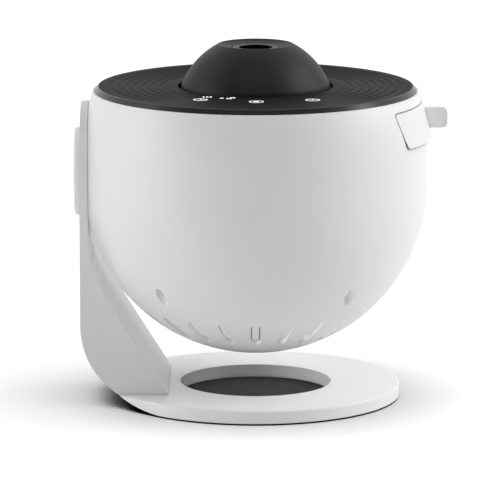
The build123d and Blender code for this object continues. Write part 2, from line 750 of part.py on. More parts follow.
with BuildPart() as focus_dome:
    with BuildSketch(Plane.XZ) as dome_profile:
        with BuildLine():
            mid_z = (dome_edge_z + rim_z) / 2
            Line((dome_bore, dome_foot), (dome_base_radius, dome_foot))
            Line((dome_base_radius, dome_foot), (dome_base_radius, dome_edge_z))
            ThreePointArc((dome_base_radius, dome_edge_z),
                          (point_on_sphere(dome_sphere_radius, mid_z), mid_z),
                          (dome_rim_radius, rim_z))
            ThreePointArc((dome_rim_radius, rim_z),
                          (dome_rim_radius - rim_flat, rim_z + rim_flat / 3),
                          (dome_rim_radius - 2 * rim_flat, rim_z))
            Line((dome_rim_radius - 2 * rim_flat, rim_z), (bezel_radius, bezel_top))
            Line((bezel_radius, bezel_top), (bezel_radius, bezel_bottom))
            Line((bezel_radius, bezel_bottom), (nose_radius, bezel_bottom))
            top_inner = dome_centre_z + sqrt(dome_inner_radius ** 2 - dome_rim_radius ** 2)
            Line((nose_radius, bezel_bottom), (dome_rim_radius, top_inner))
            mid_inner = (top_inner + dome_bore_top) / 2
            ThreePointArc((dome_rim_radius, top_inner),
                          (point_on_sphere(dome_inner_radius, mid_inner), mid_inner),
                          (dome_bore, dome_bore_top))
            Line((dome_bore, dome_bore_top), (dome_bore, dome_foot))
        make_face()
    revolve(axis=Axis.Z)
    # pairs of inner ribs that turn the lens barrel by its keys
    with BuildSketch(Plane.XY.offset(rib_bottom)) as ribs:
        for side in (-1, 1):
            for edge in (-1, 1):
                rib_y = edge * (key_width / 2 + 0.15 + rib_thickness / 2)
                rib_outer = point_on_sphere(dome_inner_radius + dome_wall / 2, rib_top)
                with Locations((side * (rib_inner + rib_outer) / 2, rib_y)):
                    Rectangle(rib_outer - rib_inner, rib_thickness)
    extrude(amount=rib_top - rib_bottom)
keep(focus_dome.part, "focus_dome")

with BuildPart() as lens_bezel:
    with BuildSketch(Plane.XZ) as bezel_profile:
        with BuildLine():
            Polyline((aperture_radius, bezel_bottom), (bezel_radius - seat_gap, bezel_bottom),
                     (bezel_radius - seat_gap, bezel_top), (bezel_radius - rim_flat, bezel_top),
                     (aperture_radius, bezel_bottom + bezel_height / 3), close=True)
        make_face()
    revolve(axis=Axis.Z)
keep(lens_bezel.part, "lens_bezel")

with BuildPart() as focus_guide:
    with BuildSketch(Plane.XZ) as guide_profile:
        guide_outer = guide_bore + guide_wall
        flange_under = cover_under - guide_flange_thickness
        collar_outer = dome_bore - running_gap
        with BuildLine():
            Polyline((guide_bore, guide_bottom), (guide_outer, guide_bottom),
                     (guide_outer, flange_under), (guide_flange_radius, flange_under),
                     (guide_flange_radius, cover_under), (cover_opening_radius + touch_gap, cover_under),
                     (cover_opening_radius + touch_gap, collar_floor), (collar_outer, collar_floor),
                     (collar_outer, collar_top), (collar_outer - collar_wall, collar_top),
                     (collar_outer - collar_wall, collar_floor), (guide_outer, collar_floor),
                     (guide_outer, guide_top), (guide_bore, guide_top), close=True)
        make_face()
    revolve(axis=Axis.Z)
keep(focus_guide.part, "focus_guide")

barrel_radius = guide_bore - running_gap
rear_bore = barrel_radius - 2.4
front_bore = nose_radius - 1.9
lens_edge = 1.6
rear_seat = barrel_bottom + barrel_height / 2
front_seat = barrel_shoulder + nose_wall
ring_thickness = 1.2
lens_rim = 2.6
rear_lens_under = rear_seat - lens_edge
with BuildPart() as lens_barrel:
    with BuildSketch(Plane.XZ) as barrel_profile:
        with BuildLine():
            Polyline((barrel_radius, barrel_bottom), (barrel_radius, barrel_shoulder),
                     (nose_radius, barrel_shoulder), (nose_radius, nose_top),
                     (front_bore, nose_top), (front_bore, front_seat),
                     (front_bore - ring_thickness, front_seat),
                     (rear_bore - ring_thickness, rear_seat), (rear_bore, rear_seat),
                     (rear_bore, barrel_bottom), close=True)
        make_face()
    revolve(axis=Axis.Z)
    with BuildSketch(Plane.XY.offset(key_z)) as keys:
        Rectangle(2 * key_radius, key_width)
        Circle(nose_radius - nose_wall, mode=Mode.SUBTRACT)
    extrude(amount=key_height)
keep(lens_barrel.part, "lens_barrel")


def lens_face_points(radius, level, bulge):
    """Edge, middle and pole of a lens face that bulges from a level, square to the axis."""
    ball = (radius ** 2 + bulge ** 2) / (2 * abs(bulge))
    half_angle = asin(radius / ball) / 2
    middle = level + bulge * (1 - ball * (1 - cos(half_angle)) / abs(bulge))
    return (radius, level), (ball * sin(half_angle), middle), (0, level + bulge)


def lens_solid(radius, under, edge, lower_bulge, upper_bulge):
    """Round lens with a flat rim; each bulge is a face's height at the centre, or 0."""
    top = under + edge
    face = radius - lens_rim
    with BuildPart() as lens:
        with BuildSketch(Plane.XZ):
            with BuildLine():
                if lower_bulge > 0:
                    ThreePointArc(*lens_face_points(face, under, -lower_bulge))
                    Line((face, under), (radius, under))
                else:
                    Line((0, under), (radius, under))
                Line((radius, under), (radius, top))
                Line((radius, top), (face, top))
                ThreePointArc(*lens_face_points(face, top, upper_bulge))
                Line((0, top + upper_bulge), (0, under - lower_bulge))
            make_face()
        revolve(axis=Axis.Z)
    return lens.part


keep(lens_solid(rear_bore - seat_gap, rear_lens_under, lens_edge, rear_lens_back, rear_lens_bulge),
     "rear_lens")
keep(lens_solid(front_bore - seat_gap, front_seat, lens_edge, 0, front_lens_bulge), "front_lens")


def ring_solid(level, thickness, outer, inner):
    """Flat ring or disc about the optical axis."""
    with BuildPart() as ring:
        with BuildSketch(Plane.XY.offset(level)):
            Circle(outer)
            if inner > 0:
                Circle(inner, mode=Mode.SUBTRACT)
        extrude(amount=thickness)
    return ring.part


keep(ring_solid(rear_lens_under - ring_thickness, ring_thickness, rear_bore - seat_gap,
                rear_bore - 2 * ring_thickness), "rear_lens_ring")
keep(ring_solid(front_seat + lens_edge, ring_thickness, front_bore - seat_gap,
                front_bore - ring_thickness), "front_lens_ring")


# ---------------------------------------------------------------- disc tray and drive
panel_low_radius = bowl_radius - panel_tighter
panel_low_x = bowl_radius + tray_bulge
panel_high_x = bowl_radius_at(tray_top)


def panel_section(level, face_x, radius, wall):
    """Segment of the panel at one height: an arc of the face and one of its back."""
    with BuildSketch(Plane.XY.offset(level)) as section:
        with Locations((face_x - radius, 0)):
            Circle(radius)
            Circle(radius - wall, mode=Mode.SUBTRACT)
        Rectangle(4 * radius, 4 * radius, align=(Align.MAX, Align.CENTER), mode=Mode.SUBTRACT)
    return section.sketch


flange_length = 13.0
flange_half = 12.0
flange_height = 2.4
tray_screw_inset = 3.2
tray_screw_side_inset = 4.0
flange_end = panel_low_x - tray_front_wall - touch_gap
flange_x = flange_end - flange_length
tray_screw_y = flange_half - tray_screw_side_inset
tray_screw_places = [(flange_x + tray_screw_inset, y) for y in (-tray_screw_y, tray_screw_y)]

low_ring = panel_section(tray_bottom, panel_low_x, panel_low_radius, tray_front_wall)
high_ring = panel_section(tray_top, panel_high_x, panel_high_x, tray_front_wall)
front_outline = tray_window_sketch(0)
with BuildPart() as tray_front:
    loft([low_ring.faces()[0], high_ring.faces()[0]])
    extrude(front_outline, amount=2 * bowl_radius, dir=(1, 0, 0), mode=Mode.INTERSECT)
    with BuildSketch(Plane.XY.offset(plate_top)) as flange_outline:
        with Locations((flange_x, 0)):
            Rectangle(flange_length, 2 * flange_half, align=(Align.MIN, Align.CENTER))
    extrude(amount=flange_height)
    with BuildSketch(Plane.XY.offset(plate_top)) as flange_holes:
        with Locations(*tray_screw_places):
            Circle(screw_radius + seat_gap)
    extrude(amount=flange_height, mode=Mode.SUBTRACT)
keep(tray_front.part, "tray_front")

tab_top = tray_top - tab_drop
tab_end = bowl_radius + tab_reach
with BuildPart() as pull_tab:
    with BuildSketch(Plane.XZ) as tab_outline:
        with Locations((tab_end, tab_top)):
            Rectangle(2 * tab_reach, tab_height, align=(Align.MAX, Align.MAX))
        fillet(tab_outline.vertices().sort_by(Axis.X)[-2:], tab_corner)
    extrude(amount=tab_thickness / 2, both=True)
    add(tray_front.part, mode=Mode.SUBTRACT)
keep(pull_tab.part.solids().sort_by(Axis.X)[-1], "pull_tab")

with BuildPart() as disc_tray:
    with BuildSketch(Plane.XY.offset(plate_under)) as plate_outline:
        with Locations((-tray_back, 0)):
            Rectangle(tray_back + flange_end, 2 * tray_half_width, align=(Align.MIN, Align.CENTER))
        Circle(panel_high_x - tray_front_wall - 2 * touch_gap, mode=Mode.INTERSECT)
        fillet(plate_outline.vertices().sort_by(Axis.X)[:2], tray_front_corner)
        Circle(tray_opening_radius, mode=Mode.SUBTRACT)
        with Locations(*tray_screw_places):
            Circle(screw_radius, mode=Mode.SUBTRACT)
    extrude(amount=tray_plate_thickness)
    with BuildSketch(Plane.XY.offset(plate_top)) as tray_collar:
        Circle(collar_radius)
        Circle(tray_opening_radius, mode=Mode.SUBTRACT)
    extrude(amount=disc_under - touch_gap - plate_top)
keep(disc_tray.part, "disc_tray")

with BuildPart() as tray_screws:
    with BuildSketch(Plane.XY.offset(plate_top + flange_height)) as tray_heads:
        with Locations(*tray_screw_places):
            Circle(screw_head_radius)
    extrude(amount=screw_head_height)
    with BuildSketch(Plane.XY.offset(plate_under + flat_gap)) as tray_shanks:
        with Locations(*tray_screw_places):
            Circle(screw_radius - seat_gap)
    extrude(amount=tray_plate_thickness + flange_height)
keep(tray_screws.part, "tray_screws")


def roll_angle(radius, base):
    """Involute polar angle of a point at a radius, in radians."""
    roll = sqrt(max((radius / base) ** 2 - 1, 0))
    return roll - atan(roll)


def gear_sketch(level, teeth, first_tooth):
    """Spur gear outline with involute flanks; first_tooth is a tooth's angle in degrees."""
    pitch = gear_module * teeth / 2
    base = pitch * cos(radians(pressure_angle))
    tip = pitch + gear_module
    root = pitch - 1.25 * gear_module
    start = max(root, base)
    half_tooth = (pi * gear_module - backlash) / (4 * pitch)

    def flank_point(radius, side):
        angle = half_tooth + roll_angle(pitch, base) - roll_angle(radius, base)
        return radius * cos(side * angle), radius * sin(side * angle)

    with BuildSketch(mode=Mode.PRIVATE) as tooth:
        with BuildLine():
            middle = (start + tip) / 2
            inner = root - gear_module / 4
            foot = flank_point(start, 1)
            foot_x = inner * foot[0] / start
            foot_y = inner * foot[1] / start
            Line((foot_x, -foot_y), flank_point(start, -1))
            ThreePointArc(flank_point(start, -1), flank_point(middle, -1), flank_point(tip, -1))
            ThreePointArc(flank_point(tip, -1), (tip, 0), flank_point(tip, 1))
            ThreePointArc(flank_point(tip, 1), flank_point(middle, 1), flank_point(start, 1))
            Line(flank_point(start, 1), (foot_x, foot_y))
            Line((foot_x, foot_y), (foot_x, -foot_y))
        make_face()
    with BuildSketch(Plane.XY.offset(level)) as outline:
        Circle(root)
        with PolarLocations(0, teeth, first_tooth):
            add(tooth.sketch)
    return outline.sketch


carrier_outline = gear_sketch(gear_under, carrier_teeth, 180 / carrier_teeth)
with BuildPart() as carrier_gear:
    add(carrier_outline)
    extrude(amount=gear_width)
    with BuildSketch(Plane.XY.offset(gear_under)) as carrier_bore:
        Circle(collar_radius + running_gap)
    extrude(amount=gear_width, mode=Mode.SUBTRACT)
    with BuildSketch(Plane.XY.offset(disc_under)) as disc_recess:
        Circle(disc_radius + seat_gap)
    extrude(amount=gear_width, mode=Mode.SUBTRACT)
keep(carrier_gear.part, "carrier_gear")
keep(ring_solid(disc_under, disc_thickness, disc_radius, 0), "star_disc")
keep(ring_solid(disc_top, gear_top - disc_top, disc_radius, disc_radius - disc_ring_wall), "disc_ring")

pinion_outline = gear_sketch(gear_under, pinion_teeth, 0)
pinion_hub_radius = motor_shaft_radius + 2.5
shaft_depth = motor_height / 3
with BuildPart() as drive_pinion:
    with Locations((pinion_x, 0, 0)):
        add(pinion_outline)
    extrude(amount=gear_width)
    with BuildSketch(Plane.XY.offset(deck_top + touch_gap)) as pinion_hub:
        with Locations((pinion_x, 0)):
            Circle(pinion_hub_radius)
    extrude(amount=gear_under - deck_top)
    with BuildSketch(Plane.XY.offset(deck_top)) as pinion_bore:
        with Locations((pinion_x, 0)):
            Circle(motor_shaft_radius + seat_gap)
    extrude(amount=deck_radius, mode=Mode.SUBTRACT)
keep(drive_pinion.part, "drive_pinion")


def post_at_pinion(level, height, radius):
    """Round bar on the pinion's axis."""
    with BuildPart() as post:
        with BuildSketch(Plane.XY.offset(level)):
            with Locations((pinion_x, 0)):
                Circle(radius)
        extrude(amount=height)
    return post.part


keep(post_at_pinion(deck_under - shaft_depth, gear_top - deck_under + shaft_depth, motor_shaft_radius),
     "motor_shaft")

motor_screw_reach = motor_radius - screw_head_radius
motor_screw_places = [(pinion_x, -motor_screw_reach), (pinion_x, motor_screw_reach)]
motor_boss_radius = 3.6
with BuildPart() as drive_motor:
    with BuildSketch(Plane.XY.offset(deck_under)) as motor_can:
        with Locations((pinion_x, 0)):
            Circle(motor_radius)
    extrude(amount=-motor_height)
    fillet(drive_motor.faces().sort_by(Axis.Z)[0].edges(), screw_radius)
    with BuildSketch(Plane.XY.offset(deck_under)) as motor_boss:
        with Locations((pinion_x, 0)):
            Circle(motor_boss_radius)
    extrude(amount=deck_thickness / 2)
    with BuildSketch(Plane.XY.offset(deck_top)) as motor_bore:
        with Locations((pinion_x, 0)):
            Circle(motor_shaft_radius + running_gap)
    extrude(amount=-(deck_thickness + shaft_depth + touch_gap), mode=Mode.SUBTRACT)
    with BuildSketch(Plane.XY.offset(deck_under)) as motor_threads:
        with Locations(*motor_screw_places):
            Circle(screw_radius)
    extrude(amount=-shank_length, mode=Mode.SUBTRACT)
keep(drive_motor.part, "drive_motor")

# deck with the rails that hold the tray down
rail_inner = tray_half_width + touch_gap
rail_outer = rail_inner + rail_width
rail_length = sqrt((deck_radius - touch_gap) ** 2 - rail_outer ** 2)
rail_under_lip = plate_top + touch_gap
rail_top = rail_under_lip + rail_lip
column_places = four_places(deck_radius - column_inset, column_turn)
column_hole_depth = 2 * shank_length
with BuildPart() as tray_deck:
    with BuildSketch(Plane.XY.offset(deck_under)) as deck_outline:
        Circle(deck_radius)
        Circle(tray_opening_radius, mode=Mode.SUBTRACT)
        with Locations((pinion_x, 0)):
            Circle(motor_boss_radius + seat_gap, mode=Mode.SUBTRACT)
        with Locations(*column_places, *motor_screw_places):
            Circle(screw_radius + seat_gap, mode=Mode.SUBTRACT)
    extrude(amount=deck_thickness)
    with BuildSketch(Plane.XY.offset(deck_top)) as rails:
        for side in (-1, 1):
            with Locations((-tray_back, side * (rail_inner + rail_width / 2))):
                Rectangle(tray_back + rail_length, rail_width, align=(Align.MIN, Align.CENTER))
    extrude(amount=rail_top - deck_top)
    with BuildSketch(Plane.XY.offset(rail_under_lip)) as rail_lips:
        for side in (-1, 1):
            with Locations((-tray_back, side * (rail_inner + (rail_width - rail_lip) / 2))):
                Rectangle(tray_back + rail_length, rail_width + rail_lip, align=(Align.MIN, Align.CENTER))
    extrude(amount=rail_lip)
keep(tray_deck.part, "tray_deck")


def screws_down(places, seat, length):
    """Pan-head screws whose heads sit on a level, shanks pointing down."""
    with BuildPart() as screws:
        with BuildSketch(Plane.XY.offset(seat)):
            with Locations(*places):
                Circle(screw_head_radius)
        extrude(amount=screw_head_height)
        with BuildSketch(Plane.XY.offset(seat)):
            with Locations(*places):
                Circle(screw_radius - seat_gap)
        extrude(amount=-length)
    return screws.part


def screws_up(places, seat, length):
    """Pan-head screws whose heads hang under a level, shanks pointing up."""
    with BuildPart() as screws:
        with BuildSketch(Plane.XY.offset(seat)):
            with Locations(*places):
                Circle(screw_head_radius)
        extrude(amount=-screw_head_height)
        with BuildSketch(Plane.XY.offset(seat)):
            with Locations(*places):
                Circle(screw_radius - seat_gap)
        extrude(amount=length)
    return screws.part


keep(screws_down(column_places, deck_top, deck_thickness + shank_length), "deck_screws")
keep(screws_down(motor_screw_places, deck_top, deck_thickness + shank_length / 2), "motor_screws")


# ---------------------------------------------------------------- chassis and lamp stack
with BuildPart() as chassis:
    with BuildSketch(Plane.XY.offset(chassis_under)) as chassis_outline:
        Circle(chassis_radius)
        Rectangle(sink_width + 2 * sink_gap, sink_width + 2 * sink_gap, mode=Mode.SUBTRACT)
    extrude(amount=chassis_thickness)
    with BuildSketch(Plane.XY.offset(well_top)) as posts:
        with Locations(*well_places):
            Circle(post_radius)
    extrude(amount=chassis_under - well_top)
    with BuildSketch(Plane.XY.offset(chassis_top)) as columns:
        with Locations(*column_places):
            Circle(column_radius)
    extrude(amount=deck_under - chassis_top)
    with BuildSketch(Plane.XY.offset(well_top)) as post_holes:
        with Locations(*well_places):
            Circle(screw_radius)
    extrude(amount=column_hole_depth, mode=Mode.SUBTRACT)
    with BuildSketch(Plane.XY.offset(deck_under)) as column_holes:
        with Locations(*column_places):
            Circle(screw_radius)
    extrude(amount=-column_hole_depth, mode=Mode.SUBTRACT)
keep(chassis.part, "chassis")
keep(screws_up(well_places, well_top - well_floor, well_floor + shank_length), "bowl_screws")

fan_screw_places = [(x, y) for x in (-fan_screw_reach, fan_screw_reach)
                    for y in (-fan_screw_reach, fan_screw_reach)]
condenser_outer = condenser_radius + condenser_wall
flange_screw_radius = (condenser_outer + condenser_flange_radius) / 2
fin_pitch = (sink_width - fin_thickness) / (fin_count - 1)
with BuildPart() as heat_sink:
    with BuildSketch(Plane.XY.offset(chassis_top)) as sink_plate:
        RectangleRounded(sink_flange, sink_flange, screw_radius)
    extrude(amount=sink_base)
    with BuildSketch(Plane.XY.offset(fin_bottom)) as fins:
        with GridLocations(fin_pitch, 0, fin_count, 1):
            Rectangle(fin_thickness, sink_width)
        with Locations(*fan_screw_places):
            Circle(post_radius)
        Rectangle(sink_width, sink_width, mode=Mode.INTERSECT)
    extrude(amount=fin_height)
    with BuildSketch(Plane.XY.offset(fin_bottom)) as sink_holes:
        with Locations(*fan_screw_places):
            Circle(screw_radius)
    extrude(amount=column_hole_depth, mode=Mode.SUBTRACT)
    with BuildSketch(Plane.XY.offset(sink_top)) as flange_threads:
        with PolarLocations(flange_screw_radius, 4, 45):
            Circle(screw_radius)
    extrude(amount=-shank_length, mode=Mode.SUBTRACT)
keep(heat_sink.part, "heat_sink")

stator_height = 2.4
shaft_radius = 1.0
with BuildPart() as fan_frame:
    with BuildSketch(Plane.XY.offset(fan_bottom)) as frame_outline:
        RectangleRounded(sink_width, sink_width, post_radius)
        Circle(fan_bore_radius, mode=Mode.SUBTRACT)
        with Locations(*fan_screw_places):
            Circle(screw_radius + seat_gap, mode=Mode.SUBTRACT)
    extrude(amount=fan_height)
    with BuildSketch(Plane.XY.offset(fin_bottom - stator_height)) as stator:
        for turn in (0, 90):
            with Locations(Location((0, 0), turn)):
                Rectangle(2 * fan_bore_radius + board_thickness, stator_height)
        Circle(fan_hub_radius)
        Circle(shaft_radius + running_gap, mode=Mode.SUBTRACT)
    extrude(amount=stator_height)
keep(fan_frame.part, "fan_frame")
keep(screws_up(fan_screw_places, fan_bottom, fan_height + shank_length), "fan_screws")

rotor_top = fin_bottom - stator_height - touch_gap
rotor_bottom = fan_bottom + 2 * touch_gap
blade_radius = fan_bore_radius - 2 * touch_gap
blade_tilt = 38.0
blade_chord = 13.0
hub_wall = 1.0
blade_root = fan_hub_radius - hub_wall


def blade_plane(turn):
    """Plane square to one blade's length, at its root."""
    outward = Vector(cos(turn), sin(turn), 0)
    middle = Vector(0, 0, (rotor_top + rotor_bottom) / 2) + outward * blade_root
    return Plane(origin=middle, x_dir=Vector(-sin(turn), cos(turn), 0), z_dir=outward)


with BuildPart() as fan_rotor:
    blades_at = [blade_plane(2 * pi * i / fan_blade_count) for i in range(fan_blade_count)]
    with BuildSketch(*blades_at) as blades:
        Rectangle(blade_chord, fin_thickness, rotation=blade_tilt)
    extrude(amount=blade_radius)
    with BuildSketch(Plane.XY.offset(rotor_bottom)) as swept_disc:
        Circle(blade_radius)
    extrude(amount=rotor_top - rotor_bottom, mode=Mode.INTERSECT)
    with BuildSketch(Plane.XY.offset(rotor_bottom)) as rotor_hub:
        Circle(fan_hub_radius)
    extrude(amount=rotor_top - rotor_bottom)
    with BuildSketch(Plane.XY.offset(rotor_top)) as rotor_shaft:
        Circle(shaft_radius)
    extrude(amount=stator_height)
keep(fan_rotor.part, "fan_rotor")

keep(ring_solid(sink_top, board_thickness, led_board_radius, 0), "led_board")
with BuildPart() as led_chip:
    with BuildSketch(Plane.XY.offset(sink_top + board_thickness)) as chip_outline:
        Rectangle(led_size, led_size)
    extrude(amount=led_height)
keep(led_chip.part, "led_chip")

condenser_seat = sink_top + lower_lens_rise
lens_depth = 4.0
lower_lens_bulge = 4.5
upper_lens_back = 1.5
upper_lens_bulge = 4.0
spacer_height = 6.5
first_lens_top = condenser_seat + lens_depth
second_lens_under = first_lens_top + spacer_height
second_lens_top = second_lens_under + lens_depth
condenser_top = sink_top + condenser_height
condenser_flange_height = 2.0
with BuildPart() as condenser_tube:
    with BuildSketch(Plane.XZ) as tube_profile:
        with BuildLine():
            Polyline((condenser_outer, sink_top + condenser_flange_height), (condenser_outer, condenser_top),
                     (condenser_radius, condenser_top), (condenser_radius, condenser_seat),
                     (condenser_radius - lens_rim, condenser_seat),
                     (led_board_radius + touch_gap, sink_top + board_thickness + led_height),
                     (led_board_radius + touch_gap, sink_top), (condenser_flange_radius, sink_top),
                     (condenser_flange_radius, sink_top + condenser_flange_height), close=True)
        make_face()
    revolve(axis=Axis.Z)
    with BuildSketch(Plane.XY.offset(sink_top)) as flange_holes:
        with PolarLocations(flange_screw_radius, 4, 45):
            Circle(screw_radius + seat_gap)
    extrude(amount=condenser_flange_height, mode=Mode.SUBTRACT)
keep(condenser_tube.part, "condenser_tube")

condenser_lens_radius = condenser_radius - seat_gap
keep(lens_solid(condenser_lens_radius, condenser_seat, lens_depth, 0, lower_lens_bulge),
     "lower_condenser_lens")
keep(ring_solid(first_lens_top, spacer_height, condenser_lens_radius,
                condenser_radius - lens_rim + running_gap), "condenser_spacer")
keep(lens_solid(condenser_lens_radius, second_lens_under, lens_depth, upper_lens_back, upper_lens_bulge),
     "upper_condenser_lens")
keep(ring_solid(second_lens_top, ring_thickness, condenser_lens_radius,
                condenser_radius - lens_rim + running_gap), "condenser_ring")
flange_screw_places = four_places(flange_screw_radius, 45)
keep(screws_down(flange_screw_places, sink_top + condenser_flange_height,
                 condenser_flange_height + shank_length / 2), "condenser_screws")

# control board at the back, with the supply socket facing out through the bowl
board_width = 54.0
board_height = 30.0
board_inset = 20.8       # from the bowl's inner wall
board_y = bowl_inner - board_inset
socket_mouth = sqrt(bowl_radius_at(socket_z) ** 2 - socket_width ** 2 / 4) - touch_gap
socket_neck = socket_mouth - board_y - board_thickness
with BuildPart() as main_board:
    with BuildSketch(Plane.XZ.offset(-board_y)) as board_outline:
        with Locations((0, chassis_top)):
            Rectangle(board_width, board_height, align=(Align.CENTER, Align.MIN))
    extrude(amount=-board_thickness)
keep(main_board.part, "main_board")

with BuildPart() as power_socket:
    with BuildSketch(Plane.XZ.offset(-(board_y + board_thickness))) as socket_outline:
        with Locations((0, socket_z)):
            SlotOverall(socket_width, socket_height)
    extrude(amount=-socket_neck)
    with BuildSketch(Plane.XZ.offset(-socket_mouth)) as socket_cavity:
        with Locations((0, socket_z)):
            SlotOverall(socket_width - 2 * touch_gap, socket_height - 2 * touch_gap)
    extrude(amount=socket_depth, mode=Mode.SUBTRACT)
    with BuildSketch(Plane.XZ.offset(-socket_mouth + socket_depth)) as socket_tongue:
        with Locations((0, socket_z)):
            Rectangle(socket_width * 0.7, socket_height / 5)
    extrude(amount=-(socket_depth - ring_thickness))
keep(power_socket.part, "power_socket")
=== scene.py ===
from math import asin, cos, pi, radians, sin, sqrt

import bmesh
import bpy
import numpy as np
from bpy.props import FloatProperty, FloatVectorProperty, IntProperty, PointerProperty
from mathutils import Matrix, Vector
from mathutils.bvhtree import BVHTree


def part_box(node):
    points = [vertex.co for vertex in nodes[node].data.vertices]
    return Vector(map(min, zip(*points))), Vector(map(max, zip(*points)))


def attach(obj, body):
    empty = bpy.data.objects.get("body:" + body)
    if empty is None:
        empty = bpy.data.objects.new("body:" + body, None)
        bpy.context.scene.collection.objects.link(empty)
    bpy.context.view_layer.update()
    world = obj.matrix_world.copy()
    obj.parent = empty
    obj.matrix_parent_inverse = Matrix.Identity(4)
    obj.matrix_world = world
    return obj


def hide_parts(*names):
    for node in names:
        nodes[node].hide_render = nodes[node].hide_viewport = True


bl_info = {
    "name": "Planetarium projector",
    "version": (1, 0, 0),
    "blender": (4, 5, 0),
    "location": "3D View > Sidebar > Projector",
    "description": "Shapes and finishes of a planetarium projector with a bowl head on a ring stand",
    "category": "Object",
}

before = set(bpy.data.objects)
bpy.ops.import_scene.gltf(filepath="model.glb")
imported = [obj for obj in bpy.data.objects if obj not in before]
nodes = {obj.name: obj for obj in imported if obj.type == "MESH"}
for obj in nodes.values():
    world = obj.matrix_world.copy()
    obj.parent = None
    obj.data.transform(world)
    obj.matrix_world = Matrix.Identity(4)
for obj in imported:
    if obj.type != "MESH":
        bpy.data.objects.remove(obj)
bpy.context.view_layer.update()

MM = 0.001
MICRON = 0.000001
WELD = 1e-7  # points of a mesh that are closer than this, in metres, become one
SLIVER = 1e-8  # edges shorter than this, in metres, are taken out


def low(node):
    """Lowest corner of a node, in millimetres."""
    return [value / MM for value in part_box(node)[0]]


def high(node):
    """Highest corner of a node, in millimetres."""
    return [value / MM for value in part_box(node)[1]]


# ------------------------------------------------------------------ settings
class ProjectorShell(bpy.types.PropertyGroup):
    """The white housing: bowl, stand and tray front."""

    colour: FloatVectorProperty(
        name="Shell colour", description="Colour of the white plastic", subtype="COLOR",
        default=(0.88, 0.88, 0.88), min=0, max=1)
    grain_size: FloatProperty(
        name="Grain size", description="Width of one grain of the moulded texture, in millimetres",
        default=0.35, min=0.05, max=2)
    grain_depth: FloatProperty(
        name="Grain depth", description="Depth of the moulded texture, in micrometres",
        default=4, min=0, max=50)
    edge_round: FloatProperty(
        name="Edge round", description="Radius of the softened edges, in millimetres",
        default=0.5, min=0.05, max=2)


class ProjectorTop(bpy.types.PropertyGroup):
    """The black top: cover, ripples and touch marks."""

    colour: FloatVectorProperty(
        name="Cover colour", description="Colour of the black cover", subtype="COLOR",
        default=(0.010, 0.010, 0.011), min=0, max=1)
    ripple_count: IntProperty(
        name="Ripples", description="Number of concentric ripples", default=7, min=0, max=12)
    ripple_pitch: FloatProperty(
        name="Ripple pitch", description="Distance between ripples, in millimetres",
        default=3.7, min=1, max=8)
    ripple_depth: FloatProperty(
        name="Ripple depth", description="Depth of the ripples, in millimetres",
        default=0.33, min=0, max=1)
    mark_colour: FloatVectorProperty(
        name="Mark colour", description="Colour of the printed touch marks", subtype="COLOR",
        default=(0.95, 0.95, 0.95), min=0, max=1)
    mark_glow: FloatProperty(
        name="Mark glow", description="How brightly the marks are lit from behind",
        default=0.35, min=0, max=5)
    fill_colour: FloatVectorProperty(
        name="Fill colour", description="Colour inside the two ringed marks", subtype="COLOR",
        default=(0.22, 0.22, 0.22), min=0, max=1)


class ProjectorDome(bpy.types.PropertyGroup):
    """The black focus dome around the lens."""

    colour: FloatVectorProperty(
        name="Dome colour", description="Colour of the soft black dome", subtype="COLOR",
        default=(0.012, 0.012, 0.013), min=0, max=1)
    rim_round: FloatProperty(
        name="Rim round", description="Radius of the rounded rim, in millimetres",
        default=0.9, min=0.2, max=2)


class ProjectorVents(bpy.types.PropertyGroup):
    """The bars that stand in the vents under the bowl."""

    slit_width: FloatProperty(
        name="Slit width", description="Open slit on each side of a bar, in millimetres",
        default=0.43, min=0.2, max=1.2)
    bar_depth: FloatProperty(
        name="Bar depth", description="How far a bar lies below the bowl's surface, in millimetres",
        default=0.9, min=0, max=2.0)


class ProjectorStudio(bpy.types.PropertyGroup):
    """Lamps, floor and camera."""

    side_power: FloatProperty(
        name="Side lamps", description="Power that each side lamp takes its share of",
        subtype="POWER", unit="POWER", default=12, min=0, max=500)
    top_power: FloatProperty(
        name="Top lamp", description="Power of the lamp above", subtype="POWER", unit="POWER",
        default=7, min=0, max=500)
    sky_strength: FloatProperty(
        name="Room light", description="Strength of the plain light from the room",
        default=0.02, min=0, max=2)
    back_strength: FloatProperty(
        name="Backdrop light", description="Strength of the light from the white backdrop behind",
        default=1.8, min=0, max=10)
    floor_lift: FloatProperty(
        name="Floor lift", description="How bright the floor is shown near the projector",
        default=0.82, min=0, max=1)
    lens_length: FloatProperty(
        name="Lens", description="Focal length in millimetres on a 36 mm sensor",
        default=341.6, min=20, max=800)


SETTINGS = {
    "projector_shell": ProjectorShell,
    "projector_top": ProjectorTop,
    "projector_dome": ProjectorDome,
    "projector_vents": ProjectorVents,
    "projector_studio": ProjectorStudio,
}


# ------------------------------------------------------------------ surfaces
def grid_faces(rows, columns, close_rows=False, close_columns=False):
    """Four-cornered faces between neighbouring points of a grid, as an array of point numbers."""
    r = np.arange(rows if close_rows else rows - 1)
    c = np.arange(columns if close_columns else columns - 1)
    r, c = np.meshgrid(r, c, indexing="ij")
    r_next = (r + 1) % rows
    c_next = (c + 1) % columns
    corners = [r * columns + c, r * columns + c_next, r_next * columns + c_next, r_next * columns + c]
    return np.stack(corners, axis=-1).reshape(-1, 4)


